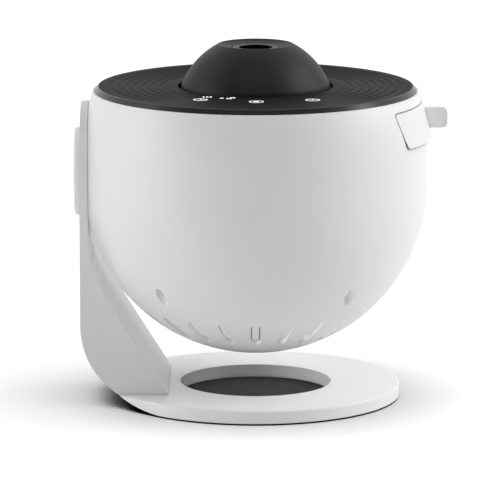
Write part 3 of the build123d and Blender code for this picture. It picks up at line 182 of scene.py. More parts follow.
def make_piece(name, points, faces, sharp=32, caps=()):
    """Mesh object from points in millimetres; seams and poles are welded and faces turned outwards.
    Edges bent by more than sharp degrees stay sharp; caps are many-cornered faces that close open ends."""
    mesh = bpy.data.meshes.new(name)
    corners = np.asarray(faces).tolist() + [np.asarray(cap).tolist() for cap in caps]
    mesh.from_pydata((np.asarray(points, float).reshape(-1, 3) * MM).tolist(), [], corners)
    weld = bmesh.new()
    weld.from_mesh(mesh)
    bmesh.ops.remove_doubles(weld, verts=weld.verts, dist=WELD)
    bmesh.ops.dissolve_degenerate(weld, edges=weld.edges, dist=SLIVER)
    bmesh.ops.recalc_face_normals(weld, faces=weld.faces)
    weld.to_mesh(mesh)
    weld.free()
    mesh.polygons.foreach_set("use_smooth", [True] * len(mesh.polygons))
    mesh.set_sharp_from_angle(angle=radians(sharp))
    piece = bpy.data.objects.new(name, mesh)
    bpy.context.scene.collection.objects.link(piece)
    return piece


def place(piece, body, material, replaced=()):
    """A finished piece rides on its body, has its material, and stands for its nodes."""
    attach(piece, body)
    if replaced:
        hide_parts(*replaced)
    piece.data.materials.clear()
    piece.data.materials.append(material)
    return piece


def turned(profile, steps, lift=None):
    """Surface of revolution: each point of the profile (radius, height) runs round the axis,
    x = r sin(a), y = -r cos(a), z = height, plus lift(r, height, a) where it is given."""
    profile = np.asarray(profile, float)
    turn = np.linspace(0, 2 * pi, steps, endpoint=False)[:, None]
    radius = np.broadcast_to(profile[:, 0], (steps, len(profile)))
    height = np.broadcast_to(profile[:, 1], radius.shape)
    if lift is not None:
        height = height + lift(radius, height, turn)
    points = np.stack([radius * np.sin(turn), -radius * np.cos(turn), height], axis=-1)
    return points, grid_faces(steps, len(profile), close_rows=True)


def arc(centre, radius, start, end, steps):
    """Points on a circular arc in a profile, from one angle to the other in degrees."""
    angle = np.radians(np.linspace(start, end, steps))
    return np.stack([centre[0] + radius * np.cos(angle), centre[1] + radius * np.sin(angle)], axis=-1)


def rounded(corners, radius, steps=5):
    """Closed outline through the corners with each corner rounded: a quadratic curve from one side
    to the other, p = (1-t)^2 a + 2t(1-t) corner + t^2 b, where a and b lie one radius from the corner."""
    corners = np.asarray(corners, float)
    radius = np.broadcast_to(np.asarray(radius, float), (len(corners),))[:, None]
    before = np.roll(corners, 1, axis=0) - corners
    after = np.roll(corners, -1, axis=0) - corners
    a = corners + before / np.linalg.norm(before, axis=1, keepdims=True) * radius
    b = corners + after / np.linalg.norm(after, axis=1, keepdims=True) * radius
    t = np.linspace(0, 1, steps)[None, :, None]
    curve = (1 - t) ** 2 * a[:, None] + 2 * t * (1 - t) * corners[:, None] + t ** 2 * b[:, None]
    return curve.reshape(-1, 2)


# ------------------------------------------------------------------ shared effects
def new_group(name, inputs, outputs):
    """Empty shader node group with named sockets; returns it with its input and output nodes."""
    group = bpy.data.node_groups.new(name, "ShaderNodeTree")
    for label, kind, value in inputs:
        socket = group.interface.new_socket(name=label, in_out="INPUT", socket_type=kind)
        socket.default_value = value
    for label, kind in outputs:
        group.interface.new_socket(name=label, in_out="OUTPUT", socket_type=kind)
    return group, group.nodes.new("NodeGroupInput"), group.nodes.new("NodeGroupOutput")


def feed(tree, socket, source):
    """A number is set on the socket and a socket is linked to it."""
    if isinstance(source, (int, float)):
        socket.default_value = source
    else:
        tree.links.new(source, socket)


def math_node(tree, operation, *values, clamp=False):
    """Math node; each value is a number or the socket that feeds it."""
    node = tree.nodes.new("ShaderNodeMath")
    node.operation = operation
    node.use_clamp = clamp
    for socket, value in zip(node.inputs, values):
        feed(tree, socket, value)
    return node.outputs[0]


def range_node(tree, value, from_low, from_high, to_low, to_high):
    """Map Range node; each bound is a number or the socket that feeds it."""
    node = tree.nodes.new("ShaderNodeMapRange")
    for socket, source in zip(node.inputs, (value, from_low, from_high, to_low, to_high)):
        feed(tree, socket, source)
    return node.outputs[0]


def vector_node(tree, operation, **inputs):
    """Vector Math node; each input is named first, second or scale, and is a value or a socket."""
    node = tree.nodes.new("ShaderNodeVectorMath")
    node.operation = operation
    sockets = {"first": node.inputs[0], "second": node.inputs[1], "scale": node.inputs[3]}
    for label, source in inputs.items():
        if isinstance(source, tuple):
            sockets[label].default_value = source
        else:
            feed(tree, sockets[label], source)
    return node


def place_on(tree):
    """Where a point lies on the object, as the material sees it."""
    return tree.nodes.new("ShaderNodeTexCoord").outputs["Object"]


def noise_node(tree, coordinates, scale, detail=2.0, roughness=0.5):
    """Noise texture on object coordinates; scale is per metre."""
    node = tree.nodes.new("ShaderNodeTexNoise")
    tree.links.new(coordinates, node.inputs["Vector"])
    feed(tree, node.inputs["Scale"], scale)
    node.inputs["Detail"].default_value = detail
    node.inputs["Roughness"].default_value = roughness
    return node.outputs["Fac"]


def build_grain_group():
    """Moulded grain: fine noise of a given width and depth, with broader unevenness under it."""
    group, given, out = new_group(
        "moulded_grain",
        [("Grain width", "NodeSocketFloat", 0.0004), ("Depth", "NodeSocketFloat", 0.000004),
         ("Waviness", "NodeSocketFloat", 0.00001)],
        [("Height", "NodeSocketFloat")])
    where = place_on(group)
    scale = math_node(group, "DIVIDE", 1.0, given.outputs["Grain width"])
    fine = noise_node(group, where, scale, detail=2.5, roughness=0.6)
    broad = noise_node(group, where, scale=28.0, detail=1.0)
    fine_height = math_node(group, "MULTIPLY", fine, given.outputs["Depth"])
    broad_height = math_node(group, "MULTIPLY", broad, given.outputs["Waviness"])
    group.links.new(math_node(group, "ADD", fine_height, broad_height), out.inputs["Height"])
    return group


def build_tone_group():
    """Colour that drifts a little over the surface, as moulded plastic does, and is darkened in hollows by
    painted shade.
    """
    group, given, out = new_group(
        "uneven_tone_and_shade",
        [("Colour", "NodeSocketColor", (0.8, 0.8, 0.8, 1)), ("Drift", "NodeSocketFloat", 0.03),
         ("Patch size", "NodeSocketFloat", 0.03), ("Grime", "NodeSocketFloat", 0.1)],
        [("Colour", "NodeSocketColor")])
    scale = math_node(group, "DIVIDE", 1.0, given.outputs["Patch size"])
    patch = noise_node(group, place_on(group), scale, detail=3.0, roughness=0.55)
    drift = math_node(group, "MULTIPLY", math_node(group, "SUBTRACT", patch, 0.5), given.outputs["Drift"])
    # Painted shade: where the surface is closed in within 1.5 mm, the colour is darkened by this share.
    hollow = group.nodes.new("ShaderNodeAmbientOcclusion")
    hollow.samples = 4
    hollow.inputs["Distance"].default_value = 0.0015
    closed = math_node(group, "SUBTRACT", 1.0, hollow.outputs["AO"])
    hollow_shade = math_node(group, "MULTIPLY", closed, given.outputs["Grime"])
    level = math_node(group, "SUBTRACT", math_node(group, "ADD", 1.0, drift), hollow_shade)
    toned = vector_node(group, "SCALE", first=given.outputs["Colour"], scale=level)
    group.links.new(toned.outputs[0], out.inputs["Colour"])
    return group


def build_edge_group():
    """Softened edges: the normal as if each edge had a small radius."""
    group, given, out = new_group(
        "soft_edges", [("Radius", "NodeSocketFloat", 0.0005)], [("Normal", "NodeSocketVector")])
    bevel = group.nodes.new("ShaderNodeBevel")
    bevel.samples = 6
    group.links.new(given.outputs["Radius"], bevel.inputs["Radius"])
    group.links.new(bevel.outputs[0], out.inputs["Normal"])
    return group


def build_smudge_group():
    """Roughness with faint finger smudges and dry patches."""
    group, given, out = new_group(
        "handled_gloss",
        [("Roughness", "NodeSocketFloat", 0.4), ("Smudge", "NodeSocketFloat", 0.06)],
        [("Roughness", "NodeSocketFloat")])
    where = place_on(group)
    broad = noise_node(group, where, scale=45.0, detail=4.0, roughness=0.6)
    fine = noise_node(group, where, scale=900.0)
    broad_share = math_node(group, "MULTIPLY", broad, 0.75)
    fine_share = math_node(group, "MULTIPLY", fine, 0.25)
    both = math_node(group, "ADD", broad_share, fine_share)
    change = math_node(group, "MULTIPLY", math_node(group, "SUBTRACT", both, 0.5), given.outputs["Smudge"])
    twice = math_node(group, "MULTIPLY", change, 2.0)
    total = math_node(group, "ADD", given.outputs["Roughness"], twice, clamp=True)
    group.links.new(total, out.inputs["Roughness"])
    return group


GROUPS = {}


def shared(name):
    """The shared node group of that name, built the first time it is asked for."""
    makers = {"grain": build_grain_group, "tone": build_tone_group,
              "edges": build_edge_group, "gloss": build_smudge_group}
    if name not in GROUPS:
        GROUPS[name] = makers[name]()
    return GROUPS[name]


def use_group(tree, name, **values):
    """A shared group placed in a material with its own values."""
    node = tree.nodes.new("ShaderNodeGroup")
    node.node_tree = shared(name)
    for label, value in values.items():
        node.inputs[label.replace("_", " ")].default_value = value
    return node


def new_material(name):
    """Empty material with nodes; returns it with its tree and its shader."""
    material = bpy.data.materials.new(name)
    material.use_nodes = True
    return material, material.node_tree, material.node_tree.nodes["Principled BSDF"]


def finish_shader(tree, shader, tone, gloss, grain):
    """Tone, gloss and grain groups feed the shader; the grain's height becomes a bump, which is returned."""
    tree.links.new(tone.outputs["Colour"], shader.inputs["Base Color"])
    tree.links.new(gloss.outputs["Roughness"], shader.inputs["Roughness"])
    bump = tree.nodes.new("ShaderNodeBump")
    bump.inputs["Strength"].default_value = 1.0
    bump.inputs["Distance"].default_value = 1.0
    tree.links.new(grain.outputs["Height"], bump.inputs["Height"])
    tree.links.new(bump.outputs["Normal"], shader.inputs["Normal"])
    return bump


def moulded(name, colour, roughness, grain=0.0004, depth=0.000004, wave=0.00001, edge=0.0003, drift=0.03,
            patch=0.03, hollow_shade=0.1, smudge=0.05, specular=0.5, metallic=0.0, coat=0.0):
    """Material of one moulded, cast or stamped part: uneven tone, painted shade in hollows, grain, softened
    edges and handled gloss.
    grain, depth, wave, edge and patch are in metres."""
    material, tree, shader = new_material(name)
    shader.inputs["Metallic"].default_value = metallic
    shader.inputs["Specular IOR Level"].default_value = specular
    shader.inputs["Coat Weight"].default_value = coat
    tone = use_group(tree, "tone", Colour=(*colour, 1), Drift=drift, Patch_size=patch, Grime=hollow_shade)
    gloss = use_group(tree, "gloss", Roughness=roughness, Smudge=smudge)
    surface = use_group(tree, "grain", Grain_width=grain, Depth=depth, Waviness=wave)
    soft = use_group(tree, "edges", Radius=edge)
    bump = finish_shader(tree, shader, tone, gloss, surface)
    tree.links.new(soft.outputs["Normal"], bump.inputs["Normal"])
    return material


def dress(material, *names):
    """CAD nodes keep their shape and get a finish."""
    for name in names:
        mesh = nodes[name].data
        mesh.materials.clear()
        mesh.materials.append(material)


# ------------------------------------------------------------------ pieces
class PROJECTOR_OT_shell(bpy.types.Operator):
    """White shell: finish of the bowl, the stand, the pivot cap and the tray's front"""

    bl_idname = "projector.shell"
    bl_label = "White shell"

    def execute(self, context):
        given = context.scene.projector_shell
        plastic = {"grain": given.grain_size * MM, "depth": given.grain_depth * MICRON, "wave": 0.00002,
                   "drift": 0.012, "smudge": 0.04}
        # The stand, cap and tray front get the strongest painted shade in their hollows.
        white = moulded("shell_white", given.colour, 0.42, edge=given.edge_round * MM, hollow_shade=0.35, **plastic)
        dress(white, "stand_frame", "gusset_cover", "pivot_cap", "tray_front")
        bowl = moulded("bowl_white", given.colour, 0.42, edge=0.00005, hollow_shade=0.0, **plastic)
        dress(bowl, "bowl_shell", "lower_bowl")
        return {"FINISHED"}


class PROJECTOR_OT_vent_bars(bpy.types.Operator):
    """Vent bars: a bar that stands in each vent of the bowl, with an open slit on both sides"""

    bl_idname = "projector.vent_bars"
    bl_label = "Vent bars"

    def execute(self, context):
        given = context.scene.projector_vents
        # The vents of the bowl: how many, the angles from straight down between which they run, their
        # width, and the bowl's wall, radius and centre.
        count, start, end, width = 22, radians(29.0), radians(44.0), 4.0
        wall, radius, centre_z = 2.2, 75.0, 95.25
        overhang, thick, corner, crown = 0.004, 1.0, 0.25, 0.1
        ramp_start, ramp_length = 0.08, 0.27
        # One bar: u runs up its meridian from 0 to 1, across is the place on its width. Its outer face
        # lies below the bowl's surface by a depth that grows to the wall's towards the lower end,
        # depth + (wall - depth) (1 - s^2 (3 - 2s)) with s = (u - ramp start) / ramp length kept within
        # 0 and 1, and its crowned face is flush with that in the middle, crown (across / half)^2 lower
        # at the sides.
        half = width / 2 - given.slit_width
        u = np.linspace(0, 1, 25)
        along = start - overhang + (end - start + 2 * overhang) * u
        s = np.clip((u - ramp_start) / ramp_length, 0, 1)
        sunk = given.bar_depth + (wall - given.bar_depth) * (1 - s * s * (3 - 2 * s))
        section = rounded([(-half, -thick), (half, -thick), (half, 0), (-half, 0)], corner, 4)
        across, rise = section[:, 0], section[:, 1] + crown * (1 - (section[:, 0] / half) ** 2)
        points, faces = [], []
        ring = grid_faces(len(along), len(across), close_columns=True)
        for i in range(count):
            turn = -pi / 2 + 2 * pi * i / count
            reach = radius - crown - sunk[:, None] + rise[None, :]
            out = np.sin(along)
            outward = np.stack([out * cos(turn), out * sin(turn), -np.cos(along)], axis=-1)
            sideways = np.array([-sin(turn), cos(turn), 0.0])
            bar = (outward[:, None] * reach[..., None] + sideways * across[None, :, None]
                   + np.array([0, 0, centre_z]))
            faces.append(ring + sum(len(p) for p in points))
            points.append(bar.reshape(-1, 3))
        ends = [np.arange(len(across)) + len(along) * len(across) * i + shift
                for i in range(count) for shift in (0, len(across) * (len(along) - 1))]
        piece = make_piece("vent_bars", np.concatenate(points), np.concatenate(faces), caps=ends)
        shell = context.scene.projector_shell
        finish = moulded("vent_white", shell.colour, 0.5, grain=shell.grain_size * MM, edge=0.0001, hollow_shade=0.0)
        place(piece, "head", finish)
        return {"FINISHED"}


class PROJECTOR_OT_cover(bpy.types.Operator):
    """Top cover: flat black disc with concentric ripples that fade out at the front"""

    bl_idname = "projector.cover"
    bl_label = "Top cover"

    def execute(self, context):
        given = context.scene.projector_top
        top = high("top_cover")[2]
        bottom = low("top_cover")[2]
        rim = high("top_cover")[0]
        # lip is the height of the rim's lower edge. The profile runs from the opening over the flat face
        # and the bevel to the rim, down the skirt and back under the plate.
        lip, opening, plate, wall = 135.3, 33.7, 2.0, 2.0
        inner_round, outer_round, margin = 0.5, 0.9, 5.0
        under = top - plate
        skirt = rim - 2.1
        flat_end = rim - 2.0
        face = np.linspace(opening + inner_round, flat_end, 150)
        outer = [(rim - 0.25, lip + 0.3), (rim - 0.02, lip + 0.12), (rim, lip)]
        corner = arc((opening + inner_round, top - inner_round), inner_round, 180, 90, 6)
        shoulder = arc((flat_end, top - outer_round), outer_round, 90, 52, 7)
        profile = np.concatenate([
            [(opening, under), (opening, top - inner_round)], corner[1:-1],
            np.stack([face, np.full_like(face, top)], axis=-1), shoulder[1:], outer,
            [(skirt, lip), (skirt, bottom), (skirt - wall, bottom), (skirt - wall, under), (opening, under)]])
        first = opening + margin
        last = first + given.ripple_count * given.ripple_pitch
        plain, fading = radians(26), radians(34)

        def ripples(radius, height, turn):
            """Depth times (1 - cos)/2 of the distance from the first ripple, between the first and the
            last one, and faded towards the front, where the angle is 0, by s^2 (3 - 2s)."""
            wave = (1 - np.cos(2 * pi * (radius - first) / given.ripple_pitch)) / 2
            inside = (radius > first) & (radius < last) & (height > top - 0.01)
            away = np.abs((turn + pi) % (2 * pi) - pi)
            fade = np.clip((away - plain) / fading, 0, 1)
            fade = fade * fade * (3 - 2 * fade)
            return np.where(inside, -given.ripple_depth * wave * fade, 0.0)

        piece = make_piece("cover_disc", *turned(profile, 288, ripples), sharp=40)
        face_gloss, bevel_gloss, bevel_roughness = 0.03, 0.3, 0.45
        black = moulded("cover_black", given.colour, 0.5, grain=0.00022, depth=0.000006, wave=0.000008,
                        edge=0.0002, drift=0.08, hollow_shade=0.2, smudge=0.05, specular=face_gloss)
        # Outside the flat face, where the distance from the axis passes the bevel's start, it is glossier.
        tree = black.node_tree
        shader = tree.nodes["Principled BSDF"]
        flat = vector_node(tree, "MULTIPLY", first=place_on(tree), second=(1, 1, 0))
        away = vector_node(tree, "LENGTH", first=flat.outputs[0]).outputs["Value"]
        bounds = flat_end * MM, (flat_end + 0.2) * MM
        gloss = range_node(tree, away, *bounds, face_gloss, bevel_gloss)
        tree.links.new(gloss, shader.inputs["Specular IOR Level"])
        smoother = range_node(tree, away, *bounds, 1.0, bevel_roughness)
        rough = shader.inputs["Roughness"].links[0].from_socket
        tree.links.new(math_node(tree, "MULTIPLY", rough, smoother), shader.inputs["Roughness"])
        place(piece, "head", black, ["top_cover"])
        return {"FINISHED"}


class PROJECTOR_OT_marks(bpy.types.Operator):
    """Touch marks: rings, bars and ticks printed on the cover"""

    bl_idname = "projector.marks"
    bl_label = "Touch marks"

    def execute(self, context):
        given = context.scene.projector_top
        level = high("top_cover")[2] + 0.02
        thick, dot = 0.05, 0.02
        points, faces = [], []

        def add_band(outline_in, outline_out):
            """Flat closed band between two outlines with as many points, with a small thickness."""
            steps = len(outline_in)
            loops = [(outline_in, 0), (outline_in, thick), (outline_out, thick), (outline_out, 0)]
            band = np.stack([np.column_stack([loop, np.full(steps, level + z)]) for loop, z in loops], axis=1)
            start = sum(len(p) for p in points)
            points.append(band.reshape(-1, 3))
            faces.append(grid_faces(steps, 4, close_rows=True, close_columns=True) + start)

        def circle(centre, radius, steps=40):
            """Points round a centre, evenly spaced."""
            turn = np.linspace(0, 2 * pi, steps, endpoint=False)
            return np.column_stack([centre[0] + radius * np.cos(turn), centre[1] + radius * np.sin(turn)])

        def add_bar(centre, right, back, width, length):
            """Bar with rounded corners, so far to the right of and behind a centre."""
            middle = np.array([centre[0] + right, centre[1] + back])
            outline = rounded([(-width / 2, -length / 2), (width / 2, -length / 2), (width / 2, length / 2),
                               (-width / 2, length / 2)], min(width, length) * 0.3, 3) + middle
            add_band(outline, middle + (outline - middle) * dot)

        # Places are right of and behind the bowl's axis: the timer, the ticks and the mode mark beside
        # it, the lamp and the power mark.
        line, size, lamp_disc = 0.65, 3.2, 1.4
        timer, ticks, mode = (-23.5, -41.0), (-20.7, -33.6), (-12.9, -37.0)
        lamp, power = (0.3, -46.6), (24.3, -41.8)
        for centre in (timer, lamp, power):
            add_band(circle(centre, size - line), circle(centre, size))
        add_bar(timer, 0, 0.7, line, 1.9)
        add_bar(timer, 0.7, 0, 1.9, line)
        add_band(circle(lamp, dot), circle(lamp, lamp_disc))
        add_bar(power, 0, 0.9, line, 2.1)
        for right in (-1.5, 0, 1.5):
            add_bar(ticks, right, 0, 0.9, 3.0)
        for right, back, width, length in ((-1.6, 0, 1.8, 2.0), (1.0, -1.0, 1.3, 2.6), (2.3, 0, 0.9, 4.6),
                                           (3.6, 1.0, 1.3, 2.6)):
            add_bar(mode, right, back, width, length)
        piece = make_piece("touch_marks", np.concatenate(points), np.concatenate(faces))
        points.clear()
        faces.clear()
        # The grey fills lie just under the white print and reach under the rings.
        level -= 0.015
        for centre in (timer, power):
            add_band(circle(centre, dot), circle(centre, size - 0.3))
        fills = make_piece("mark_fills", np.concatenate(points), np.concatenate(faces))
        print_grey = moulded("mark_grey", given.fill_colour, 0.6, grain=0.00012, edge=0.00002, hollow_shade=0.0)
        place(fills, "head", print_grey)
        print_white = moulded("mark_print", given.mark_colour, 0.6, grain=0.00012, edge=0.00002, hollow_shade=0.0)
        shader = print_white.node_tree.nodes["Principled BSDF"]
        shader.inputs["Emission Color"].default_value = (1, 1, 1, 1)
        shader.inputs["Emission Strength"].default_value = given.mark_glow
        place(piece, "head", print_white, ["touch_icons"])
        return {"FINISHED"}


class PROJECTOR_OT_dome(bpy.types.Operator):
    """Focus dome: soft black cap with a rounded rim and a dish down to the lens bezel"""

    bl_idname = "projector.dome"
    bl_label = "Focus dome"

    def execute(self, context):
        given = context.scene.projector_dome
        # The dome is a sphere from its base to its rim. Inside the rim a dish falls to a neck round
        # the bezel, dish bottom + rise f^1.3 with f from 0 at the bezel to 1 at the rim.
        edge_z = high("top_cover")[2] + 0.6
        base, sphere, rim, wall = 32.2, 34.8, 16.8, 2.2
        dish_depth, dish_rise, neck = 1.1, 0.8, 2.0
        centre = edge_z - sqrt(sphere ** 2 - base ** 2)
        rim_z = centre + sqrt(sphere ** 2 - rim ** 2)
        hole = high("lens_bezel")[0] + 0.15
        dish_z = rim_z - dish_depth
        foot = low("focus_dome")[2]
        start = np.degrees(asin((edge_z - centre) / sphere))
        end = np.degrees(asin((rim_z - centre) / sphere))
        turn = given.rim_round
        outer = arc((0, centre), sphere, start + 1.2, end - 2.4, 60)
        crown = arc((rim - turn * 0.9, rim_z - turn * 0.62), turn, 62, 128, 9)
        dish = np.stack([np.linspace(rim - 2.1, hole, 12), np.zeros(12)], axis=-1)
        fall = (dish[:, 0] - dish[-1, 0]) / (dish[0, 0] - dish[-1, 0])
        dish[:, 1] = dish_z + dish_rise * fall ** 1.3
        inner = arc((0, centre), sphere - wall, end - 4.5, start, 24)
        profile = np.concatenate([
            [(base - 0.5, foot), (base, foot + 0.4), (base, edge_z - 0.35)], outer, crown, dish,
            [(hole, dish_z - neck), (hole + 1.85, dish_z - neck - 0.6)], inner,
            [(base - wall, edge_z), (base - wall, foot), (base - 0.5, foot)]])
        piece = make_piece("dome_cap", *turned(profile, 192), sharp=45)
        soft = moulded("dome_soft_black", given.colour, 0.5, grain=0.0003, depth=0.000004, wave=0.000006,
                       edge=0.0003, drift=0.08, hollow_shade=0.15, smudge=0.08, specular=0.2)
        place(piece, "focus_dome", soft, ["focus_dome"])
        self.bezel(given, dish_z + 0.05)
        return {"FINISHED"}

    def bezel(self, given, top):
        """Ring around the lens opening, and a near-black sheet in its bore, painted shade for the deep bore:
        both turned profiles.
        """
        bottom = low("lens_bezel")[2]
        outer, bore, steps = high("lens_bezel")[0], 7.3, 128
        ring = [(bore, bottom), (bore, top - 0.3), (bore + 0.08, top - 0.1), (bore + 0.3, top),
                (outer - 0.2, top), (outer, top - 0.2), (outer, bottom), (bore, bottom)]
        piece = make_piece("bezel_ring", *turned(ring, steps), sharp=40)
        black = moulded("bezel_black", given.colour, 0.42, grain=0.0002, edge=0.0001, specular=0.25)
        place(piece, "focus_dome", black, ["lens_bezel"])
        # Painted shade: a near-black matt sheet just inside the bore wall stands in for the shade deep in the
        # bore.
        face, back = bore - 0.3, bore - 0.02
        shade_sheet = [(face, bottom), (face, top - 0.35), (back, top - 0.25), (back, bottom), (face, bottom)]
        piece = make_piece("bore_shade_sheet", *turned(shade_sheet, steps), sharp=40)
        bore_shade = moulded("bore_shade_black", (0.002, 0.002, 0.002), 0.9, grain=0.0002, depth=0.00001,
                         edge=0.00005, specular=0.0)
        place(piece, "focus_dome", bore_shade)


class PROJECTOR_OT_tab(bpy.types.Operator):
    """Pull tab: grey rounded plate on the tray's front"""

    bl_idname = "projector.tab"
    bl_label = "Pull tab"

    def execute(self, context):
        x0, y0, z0 = low("pull_tab")
        x1, y1, z1 = high("pull_tab")
        # An outline in the upright plane is carried across the thickness; near each face it draws in
        # by e (1 - sqrt(1 - t^2)), a quarter circle of radius e.
        root_round, end_round, edge = 0.3, 2.6, 0.6
        outline = rounded([(x0, z0), (x1, z0), (x1, z1), (x0, z1)],
                          [root_round, end_round, end_round, root_round], 8)
        t = np.sin(np.linspace(0, pi / 2, 5))
        drawn_in = edge * (1 - np.sqrt(1 - t ** 2))
        inset = np.concatenate([drawn_in[::-1], drawn_in])
        across = np.concatenate([y0 + edge * (1 - t[::-1]), y1 - edge * (1 - t)])
        middle = np.array([(x0 + x1) / 2, (z0 + z1) / 2])
        half = np.array([(x1 - x0) / 2, (z1 - z0) / 2])
        # A share of 0 draws the outline in to its middle, which closes each face.
        shares = [0 * half, *(1 - e / half for e in inset), 0 * half]
        rings = []
        for share, y in zip(shares, (y0, *across, y1)):
            drawn = middle + (outline - middle) * share
            rings.append(np.column_stack([drawn[:, 0], np.full(len(outline), y), drawn[:, 1]]))
        faces = grid_faces(len(rings), len(outline), close_columns=True)
        piece = make_piece("tab_grip", np.stack(rings), faces, sharp=50)
        grey = moulded("tab_grey", (0.82, 0.82, 0.82), 0.55, grain=0.0003, depth=0.000008, edge=0.0002,
                       hollow_shade=0.3)
        place(piece, "disc_tray", grey, ["pull_tab"])
        return {"FINISHED"}


class PROJECTOR_OT_gap_shade_strip(bpy.types.Operator):
    """Gap shade strip: thin dark strip in the gap round the tray's front, painted shade standing in for the
    shadow in the gap
    """

    bl_idname = "projector.window_seal"
    bl_label = "Gap shade strip"

    def execute(self, context):
        # The strip follows the front's outline seen along X, a trapezoid with rounded corners. Its face
        #  runs from the surface of the front to the surface of the bowl, which rays along X find.
        half_low, half_high = 37.5, high("tray_front")[1]
        bottom, top = low("tray_front")[2], high("tray_front")[2]
        corner, gap, clear, depth, onto = 2.0, 0.3, 0.02, 0.6, 0.3
        steps = 320

        def outline(offset):
            """The front's outline, so far outside it, as evenly spaced points."""
            path = rounded([(-half_low - offset, bottom - offset), (half_low + offset, bottom - offset),
                            (half_high + offset, top + offset), (-half_high - offset, top + offset)],
                           corner + offset, 9)
            path = np.vstack([path, path[:1]])
            length = np.concatenate([[0], np.cumsum(np.linalg.norm(np.diff(path, axis=0), axis=1))])
            even = np.linspace(0, length[-1], steps, endpoint=False)
            return np.column_stack([np.interp(even, length, path[:, 0]), np.interp(even, length, path[:, 1])])

        def surface(name, offset):
            """How far out the node's surface lies at each point of the outline."""
            mesh = nodes[name].data
            tree = BVHTree.FromPolygons([v.co for v in mesh.vertices], [p.vertices for p in mesh.polygons])
            hits = [tree.ray_cast((0.2, y * MM, z * MM), (-1, 0, 0))[0] for y, z in outline(offset)]
            return np.array([hit[0] / MM for hit in hits])

        front, bowl = surface("tray_front", -onto), surface("bowl_shell", gap + onto)
        loops = [(outline(clear), front), (outline(gap - clear), bowl),
                 (outline(gap - clear), bowl - depth), (outline(clear), front - depth)]
        rings = np.stack([np.column_stack([face, path]) for path, face in loops], axis=1)
        piece = make_piece("window_seal", rings, grid_faces(steps, 4, close_rows=True, close_columns=True))
        # Dark grey painted shade: the strip darkens the gap as its shadow would.
        dark = moulded("gap_shade_grey", (0.2, 0.2, 0.2), 0.8, grain=0.0003, edge=0.00002, hollow_shade=0.0,
                       specular=0.1)
        place(piece, "head", dark)
        return {"FINISHED"}


class PROJECTOR_OT_rubber(bpy.types.Operator):
    """Rubber pad: matt black pad under the base, seen through the ring"""

    bl_idname = "projector.rubber"
    bl_label = "Rubber pad"

    def execute(self, context):
        rubber = moulded("pad_rubber", (0.02, 0.02, 0.02), 0.75, grain=0.0006, depth=0.00002, wave=0.00003,
                         edge=0.0003, drift=0.15, hollow_shade=0.1, smudge=0.1, specular=0.3)
        dress(rubber, "rubber_pad")
        dress(moulded("plate_black", (0.02, 0.02, 0.02), 0.6, specular=0.4), "base_plate")
        return {"FINISHED"}


class PROJECTOR_OT_optics(bpy.types.Operator):
    """Lenses: coated glass in the barrel and in the condenser"""

    bl_idname = "projector.optics"
    bl_label = "Lenses"

    def execute(self, context):
        glass, tree, shader = new_material("coated_glass")
        shader.inputs["Transmission Weight"].default_value = 1.0
        shader.inputs["IOR"].default_value = 1.5
        shader.inputs["Roughness"].default_value = 0.02
        tone = use_group(tree, "tone", Colour=(0.9, 0.93, 1.0, 1), Drift=0.03, Patch_size=0.01, Grime=0.0)
        gloss = use_group(tree, "gloss", Roughness=0.02, Smudge=0.015)
        surface = use_group(tree, "grain", Grain_width=0.001, Depth=0.0000004, Waviness=0.000001)
        finish_shader(tree, shader, tone, gloss, surface)
        dress(glass, "front_lens", "rear_lens", "lower_condenser_lens", "upper_condenser_lens")
        return {"FINISHED"}


class PROJECTOR_OT_star_disc(bpy.types.Operator):
    """Star disc: dark film printed with a field of small stars, in its holder"""

    bl_idname = "projector.star_disc"
    bl_label = "Star disc"

    def execute(self, context):
        film = moulded("star_film", (0.01, 0.012, 0.03), 0.2, grain=0.0004, depth=0.000001, edge=0.0002,
                       coat=0.3)
        # One star may stand in each cell; a random value of the cell sets its size, another its brightness.
        tree = film.node_tree
        base = tree.nodes["Principled BSDF"].inputs["Base Color"]
        cells = tree.nodes.new("ShaderNodeTexVoronoi")
        cells.inputs["Scale"].default_value = 900.0
        tree.links.new(place_on(tree), cells.inputs["Vector"])
        pick = tree.nodes.new("ShaderNodeSeparateColor")
        tree.links.new(cells.outputs["Color"], pick.inputs["Color"])
        size = range_node(tree, pick.outputs["Red"], 0.55, 1.0, 0.02, 0.2)
        star = math_node(tree, "LESS_THAN", cells.outputs["Distance"], size)
        bright = math_node(tree, "MULTIPLY", star, pick.outputs["Green"])
        mix = tree.nodes.new("ShaderNodeMix")
        mix.data_type = "RGBA"
        mix.inputs[7].default_value = (0.9, 0.92, 1.0, 1)
        tree.links.new(base.links[0].from_socket, mix.inputs[6])
        tree.links.new(bright, mix.inputs[0])
        tree.links.new(mix.outputs[2], base)
        dress(film, "star_disc")
        return {"FINISHED"}


class PROJECTOR_OT_inner_plastic(bpy.types.Operator):
    """Inner plastic: chassis, deck, tray, guide, tube, fan and the nylon gears"""

    bl_idname = "projector.inner_plastic"
    bl_label = "Inner plastic"

    def execute(self, context):
        dark = moulded("inner_black", (0.022, 0.022, 0.024), 0.48, grain=0.0005, depth=0.00001, edge=0.0003,
                       drift=0.1, hollow_shade=0.3, specular=0.45)
        dress(dark, "chassis", "tray_deck", "focus_guide", "condenser_tube", "condenser_spacer",
              "condenser_ring", "lens_barrel", "rear_lens_ring", "front_lens_ring", "disc_tray", "disc_ring")
        fan = moulded("fan_black", (0.018, 0.018, 0.018), 0.35, grain=0.0004, depth=0.000005, edge=0.0002)
        dress(fan, "fan_frame", "fan_rotor")
        nylon = moulded("natural_nylon", (0.72, 0.70, 0.62), 0.45, grain=0.0003, depth=0.000006, edge=0.0002,
                        drift=0.05, hollow_shade=0.3)
        dress(nylon, "carrier_gear", "drive_pinion", "pivot_bush", "thrust_washer")
        return {"FINISHED"}


